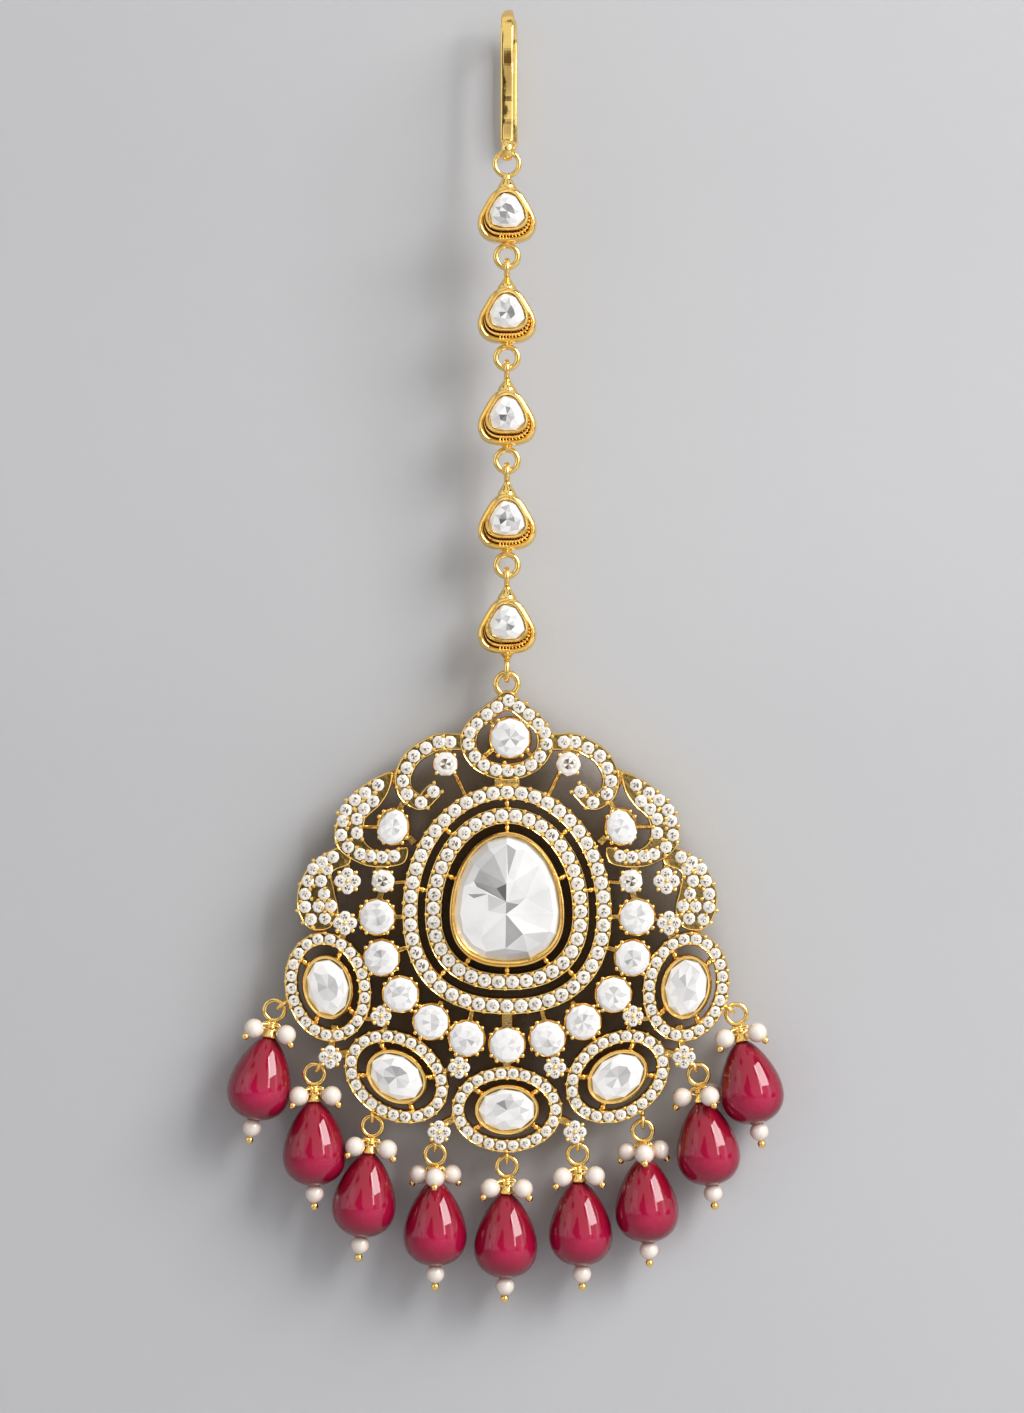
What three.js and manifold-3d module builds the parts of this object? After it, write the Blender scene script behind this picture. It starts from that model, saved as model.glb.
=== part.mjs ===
// Maang tikka: a hook, a chain of five stone-set links and an openwork pendant with nine ruby drops.
// Millimetres, +Z up, the front faces -Y, X runs across. The origin is the seat inside the top of the hook.
import * as THREE from 'three';
import { mergeVertices } from 'three/addons/utils/BufferGeometryUtils.js';
import Module from 'manifold-3d';

const wasm = await Module();
wasm.setup();

// Driving dimensions
const CHAIN_Y = -2.75;          // the chain, the pendant and the drops all hang in this plane
const PENDANT_Z = -88.5;        // height of the pendant's own origin, behind the middle of the big stone
const WIRE = 0.6;               // wire of the rings and loops
const RING_RADIUS = 1.1;        // mean radius of each face-on ring
const LOOP_RADIUS = 0.8;        // mean radius of each edge-on loop
const LOOP_STRETCH = 0.18;      // how far the lowest loop is drawn out, up and down
const PLAY = 0.1;               // running gap between two linked wires
const SEAT_GAP = 0.25;          // gap between a stone and its setting
const SEAT_LIP = 0.3;           // how far a round seat shows past its stone
const PLATE_BACK = 0.9;         // back face of the openwork behind the chain plane
const PLATE_FRONT = -0.9;       // front face of the openwork
const STONE_FLOOR = -0.75;      // floor on which the set stones sit
const CUT_THROUGH = 1;          // how far a cutting solid runs past the faces that it cuts
const GOLD = { color: 0xd9a441, roughness: 0.2, metalness: 1 };
const CRYSTAL = { color: 0xe9e9ee, roughness: 0.05, metalness: 0.1 };
const RUBY = { color: 0xa80f3a, roughness: 0.08, metalness: 0 };
const PEARL = { color: 0xf3e6df, roughness: 0.25, metalness: 0 };

// The hook: a strip that bends over at the top; its ends and its eye are heights
const HOOK = {
  width: 1.3, thick: 0.75, bend: 2.75, frontEnd: -13.2, backEnd: -12.6, flare: 0.5,
  eyeFoot: -14.3, eyeRadius: 0.85,
  aside: 0.4,                   // how far the back leg stands to the right of the front leg
};

// Chain links: centre height of each body and of the face-on ring below it
const LINKS = [
  { body: -20.25, ring: -24.15 },
  { body: -30.3, ring: -34.3 },
  { body: -40.55, ring: -44.6 },
  { body: -51.0, ring: -55.1 },
  { body: -61.4, ring: null },
];
const FIRST_RING = { radius: 1.22, wire: 0.52, z: -14.85, sides: 6 };
const NECK = 0.45;              // radius of the solder joint between a body and its ring or loop
const FIRST_NECK = 0.6;
// Height of the pendant's own ring in the pendant, and of the loop wire on which it swings
const PENDANT_RING_Z = 21.5;
const PIVOT_Z = PENDANT_Z + PENDANT_RING_Z + RING_RADIUS - WIRE - PLAY;
// A link's body: its mean radius, how far its three corners stand out, and its levels along Y
const LINK_BODY = {
  size: 2.85, point: 0.1, back: 0.9, groove: -0.5, rim: -0.9, rimWidth: 0.4, setting: -1.5, settingBack: 0.6,
  wall: 0.38, lift: 0.45, stone: 1.75,
};

// Egg-shaped rings of the pendant: half width, top, bottom and the height of the widest line
const EGGS = {
  stone: { half: 5.3, top: 6.35, bottom: -6.15, widest: -1.5 },
  bezel: { half: 5.8, top: 6.8, bottom: -6.85, widest: -1.5 },
  innerHaloInside: { half: 6.45, top: 7.45, bottom: -7.4, widest: -1.3 },
  innerHaloOutside: { half: 8.3, top: 9.25, bottom: -9.2, widest: -1.2 },
  outerHaloInside: { half: 8.85, top: 9.9, bottom: -9.85, widest: -1.2 },
  outerHaloOutside: { half: 10.55, top: 11.5, bottom: -11.6, widest: -1.2 },
};
const EGG_POWER = 2.35;
const BIG_STONE_TABLE = [0, -0.7];   // middle of its table

// Crest above the halos: a pointed band round one stone, right half from the top down
const CREST_OUTLINE = [
  [0, 20.9], [1.5, 19.9], [3.65, 18.1], [4.7, 16.4], [4.6, 14.8], [3.6, 13.2], [2, 12.2], [0, 11.8],
];
const CREST_WINDOW = [[0, 18.8], [1.5, 17.8], [2.8, 16.6], [2.9, 15.2], [1.8, 14], [0, 13.6]];
const CREST_STONE = { x: 0.3, z: 16.1, rx: 1.97, rz: 1.97 };

// Scroll, crescent and lobe of the left side, each mirrored for the right
const SCROLL_LINE = [
  [-4.6, 15.7], [-6.8, 15.7], [-8.1, 15.1], [-9.3, 14.3], [-10.1, 13.1], [-10.4, 11.8],
  [-10, 10.5], [-8.6, 9.7], [-7.4, 10.7],
];
const SCROLL_HALF = 0.9;
const CRESCENT_OUTLINE = [
  [-11.5, 12.7], [-14.7, 11.2], [-16.4, 9.3], [-17.3, 6.6], [-16.9, 5], [-15, 3.6], [-13.2, 3.1],
  [-10.2, 3.6], [-9.9, 5.2], [-11.7, 4.9], [-13.2, 5], [-14.2, 5.9], [-14.1, 7.9], [-12.7, 9.3],
  [-11.7, 10.9],
];
const LOBE_OUTLINE = [
  [-16, 5.3], [-18.2, 4.6], [-19.9, 3.2], [-21, 0.6], [-20.8, -1.6], [-19.6, -3.1],
  [-17.6, -2.9], [-16.8, -1.2], [-17.2, 0.9], [-17.4, 2.6], [-15.6, 3.6],
];
const PEAR_STONE = { x: -11.4, z: 7.2, rx: 1.5, rz: 1.75 };

// Five equal oval medallions: centre and the lean of the long axis from level, in degrees
const OVALS = [
  { x: -17.9, z: -8.8, lean: 102 },
  { x: -11.05, z: -17.75, lean: -33 },
  { x: 0, z: -21.05, lean: 0 },
  { x: 11.05, z: -17.75, lean: 33 },
  { x: 17.9, z: -8.8, lean: 78 },
];
// Half axes of a medallion's halo, its window, the setting's wall and the stone
const OVAL = {
  haloX: 5.6, haloZ: 4.35, windowX: 4.2, windowZ: 2.95, wallX: 3.3, wallZ: 2.55, stoneX: 2.85, stoneZ: 2.1,
  front: -1.6, back: 0.7,
};

// Round stones in a garland under the big stone
const GARLAND = [
  { x: -13, z: -1.8 }, { x: -12.55, z: -5.9 }, { x: -10.65, z: -9.55 }, { x: -7.6, z: -12.3 },
  { x: -4.05, z: -13.95 }, { x: 0, z: -14.6 }, { x: 4.05, z: -13.95 },
  { x: 7.6, z: -12.3 }, { x: 10.65, z: -9.55 }, { x: 12.55, z: -5.9 }, { x: 13, z: -1.8 },
];
const GARLAND_STONE = 1.75;
// Small clusters of stones between the forms (one side)
const CLUSTERS = [
  { x: -6.15, z: 13.5, r: 1.25 }, { x: -15.95, z: 1.8, r: 1.2 }, { x: -12.4, z: 1.8, r: 1.2 },
  { x: -16.2, z: -2.4, r: 1.1 }, { x: -12.6, z: -11.7, r: 0.95 }, { x: -4.8, z: -16.85, r: 1.0 },
  { x: -17.7, z: -15.8, r: 1.05 }, { x: -6.8, z: -23.3, r: 1.05 },
];

// Straight bars that join the forms (one side): ends and width
const SIDE_BARS = [
  { from: [-5.4, 12.9], to: [-4.1, 10.2], width: 0.5 },
  { from: [-6.15, 14.4], to: [-6.15, 15.2], width: 1.4 },
  { from: [-11.5, 12.9], to: [-10.6, 10.6], width: 0.9 },
  { from: [-10.2, 10], to: [-10.9, 8.7], width: 0.7 },
  { from: [-14.6, 7.2], to: [-12.6, 7.2], width: 0.5 },
  { from: [-9.9, 6.2], to: [-9.2, 5.5], width: 0.8 },
  { from: [-13, 3.4], to: [-12.6, 2.6], width: 0.9 },
  { from: [-16, 4], to: [-16, 2.6], width: 0.8 },
  { from: [-12.5, 1], to: [-12.9, -0.5], width: 0.8 },
  { from: [-11.5, 1.6], to: [-10.2, 1.7], width: 0.5 },
  { from: [-11.6, -1.8], to: [-10.2, -1.8], width: 0.6 },
  { from: [-17.5, 1.5], to: [-16.6, 1.7], width: 0.6 },
  { from: [-16.2, -3], to: [-16.9, -4.8], width: 0.9 },
  { from: [-15.4, -2.2], to: [-14.4, -2], width: 0.5 },
  { from: [-11.2, -5.2], to: [-9.6, -4.8], width: 0.6 },
  { from: [-14, -6.2], to: [-14.2, -7.2], width: 0.8 },
  { from: [-7, -11.2], to: [-6.5, -10.2], width: 0.6 },
  { from: [-3.8, -12.6], to: [-3.5, -11.1], width: 0.6 },
  { from: [-11.8, -11], to: [-11.3, -10.6], width: 0.6 },
  { from: [-13.4, -12], to: [-14.4, -12], width: 0.6 },
  { from: [-12.4, -12.4], to: [-11.9, -13.7], width: 0.6 },
  { from: [-4.6, -15.6], to: [-4.6, -17.8], width: 0.7 },
  { from: [-5.6, -17], to: [-6.8, -17.3], width: 0.6 },
  { from: [-16.8, -15.6], to: [-15.2, -15.3], width: 0.9 },
  { from: [-17.6, -15], to: [-17.2, -12.6], width: 0.8 },
  { from: [-6.4, -22.6], to: [-5, -21.9], width: 0.9 },
];
const MIDDLE_BARS = [
  { from: [1.6, 17.3], to: [2.2, 18], width: 0.6 },
  { from: [-1.1, 17.4], to: [-1.9, 18.1], width: 0.6 },
  { from: [2, 14.8], to: [2.7, 14], width: 0.6 },
  { from: [-1.5, 14.9], to: [-2.6, 14], width: 0.6 },
  { from: [0, 12.2], to: [0, 11], width: 2.6 },
  { from: [0, -11.2], to: [0, -13], width: 1.2 },
  { from: [0, -16.2], to: [0, -17.2], width: 0.9 },
];

// Short bars across the gaps: the angle round the egg rings and round each oval medallion, in degrees
const GAP_BARS = { outer: [90, 48, 132, 12, 168, 315, 225], inner: [90, 25, 155, 305, 235, 270] };
const OVAL_BARS = [40, 140, 220, 320];
const BAR = 0.5;
const BAR_HOLD = 0.25;          // how far each end of a gap bar runs into the metal

// The big stone's setting: front of its wall, its back, and the floor inside
const BIG_SETTING = { front: -2.2, back: 1.5, floor: -1.05 };

// How stones are cut: each level's share of the outline, from the back, over the edge, to the table
const CUT = [{ size: 0.82, y: -1.05 }, { size: 1, y: -1.35 }, { size: 0.7, y: -1.85 }];
const BIG_CUT = [
  { size: 0.86, y: -1.2 }, { size: 1, y: -1.7 }, { size: 0.8, y: -2.5 }, { size: 0.42, y: -2.95 },
];
const BOSS = [{ size: 1, y: PLATE_BACK }, { size: 1, y: PLATE_FRONT }, { size: 0.6, y: -1.5 }];

// Nine drops: the centre of the jump ring, its swing out from under its eye, the tilt of the ruby,
// the turn of its three pearls, and where the eye's stem meets the openwork
const DROPS = [
  { x: -23.3, z: -11.2, hang: 53, tilt: -11, turn: 90, stem: [-21.8, -9.6] },
  { x: -19.3, z: -17.6, hang: 30, tilt: 0, turn: 97, stem: [-18.1, -15.9] },
  { x: -13.5, z: -22.8, hang: 0, tilt: -6, turn: 98, stem: [-13.6, -20.9] },
  { x: -7.2, z: -25.65, hang: 0, tilt: 0, turn: -90, stem: [-6.9, -23.4] },
  { x: 0, z: -26.85, hang: 0, tilt: -1, turn: 90, stem: [0, -24.8] },
  { x: 7.1, z: -25.65, hang: 0, tilt: 2, turn: 90, stem: [6.9, -23.4] },
  { x: 13.6, z: -23.3, hang: 0, tilt: 3, turn: -90, stem: [13.5, -20.9] },
  { x: 19.2, z: -17.65, hang: -27, tilt: 7, turn: -66, stem: [18.1, -15.8] },
  { x: 23, z: -11.6, hang: -53, tilt: 11, turn: 90, stem: [21.5, -9.9] },
];
const EYE = { radius: 0.62, wire: 0.4 };
// The ruby: fullness draws its widest line towards the foot, and peak is the height of that curve
const RUBY_DROP = { length: 8.6, radius: 3.2, fullness: 0.35, peak: 1.054, bore: 0.42, below: 2.6 };
const JUMP_RING = { radius: 1.0, wire: 0.45 };
const PIN = 0.24;
const PEARL_RADIUS = 1.0;
const PEARL_REACH = 1.9;
const PEARL_DROP = 0.3;
const COLLAR = { inside: 0.39, outside: 1.25, half: 0.35, z: -1.8 };
const SMALL_PEARL = 0.95;
const BALL = { radius: 0.42, sunk: 0.15, sides: 6, rows: 3 };

// Solid helpers
function toSolid(geometry) {
  const bare = geometry.clone();
  bare.deleteAttribute('normal');
  bare.deleteAttribute('uv');
  const merged = mergeVertices(bare, 1e-5);
  return new wasm.Manifold(new wasm.Mesh({
    numProp: 3,
    vertProperties: new Float32Array(merged.attributes.position.array),
    triVerts: new Uint32Array(merged.index.array),
  }));
}

function toGeometry(solid) {
  const mesh = solid.getMesh();
  const geometry = new THREE.BufferGeometry();
  geometry.setAttribute('position', new THREE.BufferAttribute(mesh.vertProperties, 3));
  geometry.setIndex(new THREE.BufferAttribute(mesh.triVerts, 1));
  return geometry;
}

function join(solids) {
  return solids.reduce((whole, solid) => whole.add(solid));
}

function outline(points) {
  return new THREE.Shape(points.map(([x, z]) => new THREE.Vector2(x, z)));
}

// A flat piece in the XZ plane, from its back face to its front face along Y
function plate(points, front = PLATE_FRONT, back = PLATE_BACK) {
  const geometry = new THREE.ExtrudeGeometry(outline(points), { depth: back - front, bevelEnabled: false });
  geometry.translate(0, 0, -back);
  geometry.rotateX(Math.PI / 2);
  return toSolid(geometry);
}

function mirrored(points) {
  return points.map(([x, z]) => [-x, z]).reverse();
}

// A smooth closed outline through a few points
function smooth(points, count) {
  const knots = points.map(([x, z]) => new THREE.Vector3(x, z, 0));
  const curve = new THREE.CatmullRomCurve3(knots, true, 'centripetal');
  return curve.getPoints(count).slice(0, -1).map((p) => [p.x, p.y]);
}

// A symmetric outline from its right half, listed from the top to the bottom
function symmetric(half) {
  const left = half.slice(1, -1).map(([x, z]) => [-x, z]).reverse();
  return [...half, ...left].reverse();
}

function ellipse({ x = 0, z = 0, rx, rz, lean = 0, count = 20 }) {
  const turn = THREE.MathUtils.degToRad(lean);
  return Array.from({ length: count }, (_, i) => {
    const a = (i / count) * 2 * Math.PI;
    const u = rx * Math.cos(a);
    const v = rz * Math.sin(a);
    return [x + u * Math.cos(turn) - v * Math.sin(turn), z + u * Math.sin(turn) + v * Math.cos(turn)];
  });
}

// An egg: an ellipse above its widest line and a fuller curve below it
function eggPoint({ half, top, bottom, widest }, angle) {
  const c = Math.cos(angle);
  const s = Math.sin(angle);
  const power = s < 0 ? 2 / EGG_POWER : 1;
  const x = half * Math.sign(c) * Math.abs(c) ** power;
  return s < 0 ? [x, widest - (widest - bottom) * Math.abs(s) ** power] : [x, widest + (top - widest) * s];
}

function egg(size, count) {
  return Array.from({ length: count }, (_, i) => eggPoint(size, (i / count) * 2 * Math.PI));
}

// A triangle with round corners that points up
function trefoil(size, point, x, z, count) {
  return Array.from({ length: count }, (_, i) => {
    const a = (i / count) * 2 * Math.PI;
    const r = size * (1 + point * Math.cos(3 * (a - Math.PI / 2)));
    return [x + r * Math.cos(a), z + r * Math.sin(a)];
  });
}

function bar({ from, to, width }) {
  const [dx, dz] = [to[0] - from[0], to[1] - from[1]];
  const scale = width / 2 / Math.hypot(dx, dz);
  const aside = ([x, z], side) => [x - side * dz * scale, z + side * dx * scale];
  return plate([aside(from, -1), aside(to, -1), aside(to, 1), aside(from, 1)]);
}

// A band of even width that follows a centre line, with a blunt round far end
function band(line, half, count) {
  const knots = line.map(([x, z]) => new THREE.Vector3(x, z, 0));
  const curve = new THREE.CatmullRomCurve3(knots, false, 'centripetal');
  const beside = (t, along, side) => {
    const p = curve.getPoint(t);
    const w = curve.getTangent(t);
    return [p.x + half * (along * w.x - side * w.y), p.y + half * (along * w.y + side * w.x)];
  };
  const steps = Array.from({ length: count + 1 }, (_, i) => i / count);
  const right = steps.map((t) => beside(t, 0, -1));
  const left = steps.map((t) => beside(t, 0, 1)).reverse();
  return plate([...right, beside(1, 1, -0.4), beside(1, 1, 0.4), ...left]);
}

// A round wire loop. Its axis is Y when it faces the front, X when it is seen on edge
function wireLoop({
  radius, wire, x = 0, y = 0, z, axis = 'y', turn = 0, stretch = 0, sides = 5, steps = 10,
}) {
  const geometry = new THREE.TorusGeometry(radius, wire / 2, sides, steps);
  geometry.rotateZ(Math.PI / steps);
  const place = geometry.attributes.position;
  for (let i = 0; i < place.count; i += 1) {
    place.setY(i, place.getY(i) + Math.sign(place.getY(i)) * stretch);
  }
  geometry.rotateX(Math.PI / 2);
  if (axis === 'x') geometry.rotateZ(Math.PI / 2);
  geometry.rotateY(turn);
  geometry.translate(x, y, z);
  return toSolid(geometry);
}

// A round body turned about Z from a profile of radius and height
function turned(profile, sides) {
  const geometry = new THREE.LatheGeometry(profile.map(([r, z]) => new THREE.Vector2(r, z)), sides);
  geometry.rotateX(Math.PI / 2);
  return toSolid(geometry);
}

function bead(radius, x, y, z, sides = 10, rows = 4) {
  const geometry = new THREE.SphereGeometry(radius, sides, rows);
  geometry.rotateX(Math.PI / 2);
  geometry.translate(x, y, z);
  return toSolid(geometry);
}

// A straight rod; width is its radius
function rod(from, to, width, sides = 5) {
  const path = new THREE.LineCurve3(new THREE.Vector3(...from), new THREE.Vector3(...to));
  const section = new THREE.Shape(Array.from({ length: sides }, (_, i) => {
    const a = (i / sides) * 2 * Math.PI;
    return new THREE.Vector2(width * Math.cos(a), width * Math.sin(a));
  }));
  return toSolid(new THREE.ExtrudeGeometry(section, { steps: 1, bevelEnabled: false, extrudePath: path }));
}

// A cut stone: level rings of an outline, each with its own size and depth, closed by a flat table and back
function cutStone(points, centre, levels) {
  const [cx, cz] = centre;
  const count = points.length;
  const position = [];
  levels.forEach(({ size, y }) => points.forEach(([x, z]) => {
    position.push(cx + (x - cx) * size, y, cz + (z - cz) * size);
  }));
  const index = [];
  for (let row = 0; row < levels.length - 1; row += 1) {
    for (let i = 0; i < count; i += 1) {
      const j = (i + 1) % count;
      const [a, b, c, d] = [row * count + i, row * count + j, (row + 1) * count + j, (row + 1) * count + i];
      index.push(a, b, c, a, c, d);
    }
  }
  for (let i = 1; i < count - 1; i += 1) {
    const last = (levels.length - 1) * count;
    index.push(0, i + 1, i, last, last + i, last + i + 1);
  }
  const geometry = new THREE.BufferGeometry();
  geometry.setAttribute('position', new THREE.Float32BufferAttribute(position, 3));
  geometry.setIndex(index);
  return toSolid(geometry);
}

function makeMesh(name, solid, finish) {
  const mesh = new THREE.Mesh(toGeometry(solid), new THREE.MeshStandardMaterial(finish));
  mesh.name = name;
  return mesh;
}

// A flat strip bent over at the top, with its lower front end drawn into an eye
function hook() {
  const { width, thick, bend, frontEnd, backEnd, flare, eyeFoot, eyeRadius, aside } = HOOK;
  const arch = Array.from({ length: 11 }, (_, i) => {
    const a = Math.PI * (1 - i / 10);
    return [bend * Math.cos(a), thick / 2 - bend + bend * Math.sin(a)];
  });
  const frontLeg = [[-bend, frontEnd], [-bend, -9], [-bend, -6]];
  const backLeg = [[bend, -6], [bend, -9.5], [bend + flare, backEnd]];
  const line = [...frontLeg, ...arch, ...backLeg];
  const across = (y) => (aside * (y + bend)) / (2 * bend);
  const curve = new THREE.CatmullRomCurve3(line.map(([y, z]) => new THREE.Vector3(across(y), y, z)));
  const [u, v] = [thick / 2, width / 2];
  const section = outline([[-u, -v], [u, -v], [u, v], [-u, v]]);
  const settings = { steps: 20, bevelEnabled: false, extrudePath: curve };
  const strip = toSolid(new THREE.ExtrudeGeometry(section, settings));
  return strip.add(wireLoop({ radius: eyeRadius, wire: WIRE, y: -bend, z: eyeFoot + eyeRadius, axis: 'x' }));
}

// A link's grooved body with the wall round its stone
function linkBody(body) {
  const { size, point, back, groove, rim, rimWidth, setting, settingBack, wall, lift, stone } = LINK_BODY;
  const around = (r, z, count) => trefoil(r, point, 0, z, count);
  const seat = body + lift;
  return [
    plate(around(size, body, 12), rim, back)
      .subtract(plate(around(size - rimWidth, body, 12), rim - CUT_THROUGH, groove)),
    plate(around(stone + SEAT_GAP + wall, seat, 9), setting, settingBack)
      .subtract(plate(around(stone + SEAT_GAP, seat, 9), setting - CUT_THROUGH, STONE_FLOOR)),
  ];
}

// A loop or ring below or above a body, with the neck that joins them
function hung(loop, bodyEdge, loopEdge, neck = NECK) {
  return [wireLoop(loop), rod([0, 0, bodyEdge], [0, 0, loopEdge], neck, 6)];
}

function link(number) {
  const { body, ring } = LINKS[number];
  const { size, point } = LINK_BODY;
  const [head, foot] = [body + size, body - size * (1 - point) + 0.5];
  const pieces = linkBody(body);
  if (number === 0) {
    pieces.push(...hung(FIRST_RING, head, FIRST_RING.z - FIRST_RING.radius, FIRST_NECK));
  } else {
    const above = LINKS[number - 1].ring - RING_RADIUS + WIRE + PLAY;
    const loop = { radius: LOOP_RADIUS, wire: WIRE, z: above - LOOP_RADIUS, axis: 'x' };
    pieces.push(...hung(loop, head, above - 2 * LOOP_RADIUS));
  }
  if (ring === null) {
    const reach = LOOP_RADIUS + LOOP_STRETCH;
    const loop = { radius: LOOP_RADIUS, wire: WIRE, z: PIVOT_Z + reach, axis: 'x', stretch: LOOP_STRETCH };
    pieces.push(...hung(loop, foot, PIVOT_Z + 2 * reach));
  } else {
    pieces.push(...hung({ radius: RING_RADIUS, wire: WIRE, z: ring }, foot, ring + RING_RADIUS));
  }
  return join(pieces);
}

function linkStone(number) {
  const { stone, point, lift } = LINK_BODY;
  const z = LINKS[number].body + lift;
  return cutStone(trefoil(stone, point, 0, z, 9), [0, z], CUT);
}

// A flat ring between two outlines
function ringBand(outside, inside) {
  return plate(outside).subtract(plate(inside, PLATE_FRONT - CUT_THROUGH, PLATE_BACK + CUT_THROUGH));
}

// A bar across the gap between two egg rings
function eggBar(inner, outer, degrees) {
  const angle = THREE.MathUtils.degToRad(degrees);
  const [x0, z0] = eggPoint(inner, angle);
  const [x1, z1] = eggPoint(outer, angle);
  const reach = BAR_HOLD / Math.hypot(x1 - x0, z1 - z0);
  return bar({
    from: [x0 - (x1 - x0) * reach, z0 - (z1 - z0) * reach],
    to: [x1 + (x1 - x0) * reach, z1 + (z1 - z0) * reach],
    width: BAR,
  });
}

function bigSetting() {
  const { front, back, floor } = BIG_SETTING;
  const pieces = [
    ringBand(egg(EGGS.outerHaloOutside, 32), egg(EGGS.outerHaloInside, 28)),
    ringBand(egg(EGGS.innerHaloOutside, 28), egg(EGGS.innerHaloInside, 26)),
    plate(egg(EGGS.bezel, 24), front, back)
      .subtract(plate(egg(grown(EGGS.stone, SEAT_GAP), 24), front - CUT_THROUGH, floor)),
  ];
  GAP_BARS.outer.forEach((a) => pieces.push(eggBar(EGGS.innerHaloOutside, EGGS.outerHaloInside, a)));
  GAP_BARS.inner.forEach((a) => pieces.push(eggBar(EGGS.bezel, EGGS.innerHaloInside, a)));
  return pieces;
}

// The same egg, larger all round
function grown({ half, top, bottom, widest }, by) {
  return { half: half + by, top: top + by, bottom: bottom - by, widest };
}

// A medallion: its halo, the wall round the stone and four bars between them
function ovalSetting({ x, z, lean }) {
  const { haloX, haloZ, windowX, windowZ, wallX, wallZ, stoneX, stoneZ, front, back } = OVAL;
  const oval = (rx, rz, count) => ellipse({ x, z, rx, rz, lean, count });
  const pieces = [
    ringBand(oval(haloX, haloZ, 16), oval(windowX, windowZ, 12)),
    plate(oval(wallX, wallZ, 12), front, back)
      .subtract(plate(oval(stoneX + SEAT_GAP, stoneZ + SEAT_GAP, 12), front - CUT_THROUGH, STONE_FLOOR)),
  ];
  OVAL_BARS.forEach((degrees) => {
    const a = THREE.MathUtils.degToRad(degrees);
    const turn = THREE.MathUtils.degToRad(lean);
    const at = (rx, rz) => {
      const [u, v] = [rx * Math.cos(a), rz * Math.sin(a)];
      return [x + u * Math.cos(turn) - v * Math.sin(turn), z + u * Math.sin(turn) + v * Math.cos(turn)];
    };
    const from = at(wallX - BAR_HOLD, wallZ - BAR_HOLD);
    pieces.push(bar({ from, to: at(windowX + BAR_HOLD, windowZ + BAR_HOLD), width: BAR }));
  });
  return pieces;
}

// The round seat under a stone, a little wider than the stone
function stoneSeat({ x, z, rx, rz }) {
  return plate(ellipse({ x, z, rx: rx + SEAT_LIP, rz: rz + SEAT_LIP, count: 10 }), STONE_FLOOR);
}

// A little raised cluster of stones in one round cup
function smallCluster({ x, z, r }) {
  return cutStone(ellipse({ x, z, rx: r, rz: r, count: 6 }), [x, z], BOSS);
}

function pendantFrame() {
  const pieces = bigSetting();
  const twoSides = (points) => [points, mirrored(points)];
  pieces.push(ringBand(smooth(symmetric(CREST_OUTLINE), 20), smooth(symmetric(CREST_WINDOW), 14)));
  twoSides(smooth(CRESCENT_OUTLINE, 24)).forEach((points) => pieces.push(plate(points)));
  twoSides(smooth(LOBE_OUTLINE, 17)).forEach((points) => pieces.push(plate(points)));
  pieces.push(band(SCROLL_LINE, SCROLL_HALF, 11));
  pieces.push(band(SCROLL_LINE, SCROLL_HALF, 11).mirror([1, 0, 0]));
  OVALS.forEach((row) => pieces.push(...ovalSetting(row)));
  pieces.push(stoneSeat(CREST_STONE));
  pieces.push(stoneSeat(PEAR_STONE), stoneSeat({ ...PEAR_STONE, x: -PEAR_STONE.x }));
  GARLAND.forEach(({ x, z }) => pieces.push(stoneSeat({ x, z, rx: GARLAND_STONE, rz: GARLAND_STONE })));
  CLUSTERS.forEach((row) => pieces.push(smallCluster(row), smallCluster({ ...row, x: -row.x })));
  SIDE_BARS.forEach((row) => pieces.push(bar(row), bar(row).mirror([1, 0, 0])));
  MIDDLE_BARS.forEach((row) => pieces.push(bar(row)));
  pieces.push(wireLoop({ radius: RING_RADIUS, wire: WIRE, z: PENDANT_RING_Z }));
  DROPS.forEach((row) => {
    const turn = THREE.MathUtils.degToRad(row.hang);
    const onRing = (r) => [row.x + r * Math.sin(turn), row.z + r * Math.cos(turn)];
    const [x, z] = onRing(JUMP_RING.radius);
    pieces.push(wireLoop({ ...EYE, x, z, axis: 'x', turn }));
    pieces.push(bar({ from: onRing(JUMP_RING.radius + EYE.radius), to: row.stem, width: EYE.wire }));
  });
  return join(pieces);
}

function bigStone() {
  return cutStone(egg(EGGS.stone, 16), BIG_STONE_TABLE, BIG_CUT);
}

function ovalStone({ x, z, lean }) {
  const points = ellipse({ x, z, rx: OVAL.stoneX, rz: OVAL.stoneZ, lean, count: 10 });
  return cutStone(points, [x, z], CUT);
}

function roundStone({ x, z, rx, rz }) {
  return cutStone(ellipse({ x, z, rx, rz, count: 10 }), [x, z], CUT);
}

// Half width and height of the ruby at an angle round its profile, 0 at the tip and pi at the foot
function rubyProfile(angle) {
  const { length, radius, fullness, peak, below } = RUBY_DROP;
  return [(radius / peak) * Math.sin(angle) * (1 - fullness * Math.cos(angle)),
    -below - (length * (1 - Math.cos(angle))) / 2];
}

// One drop in its own frame: the jump ring is centred on the origin and the ruby hangs below it
function rubyDrop() {
  const { length, bore, below } = RUBY_DROP;
  const rows = 8;
  const profile = Array.from({ length: rows - 1 }, (_, i) => rubyProfile(((rows - 1 - i) * Math.PI) / rows));
  const body = turned([[0, -below - length], ...profile, [0, -below]], 10);
  const [low, high] = [-below - length - CUT_THROUGH, CUT_THROUGH - below];
  return body.subtract(turned([[0, low], [bore, low], [bore, high], [0, high]], 6));
}

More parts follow.
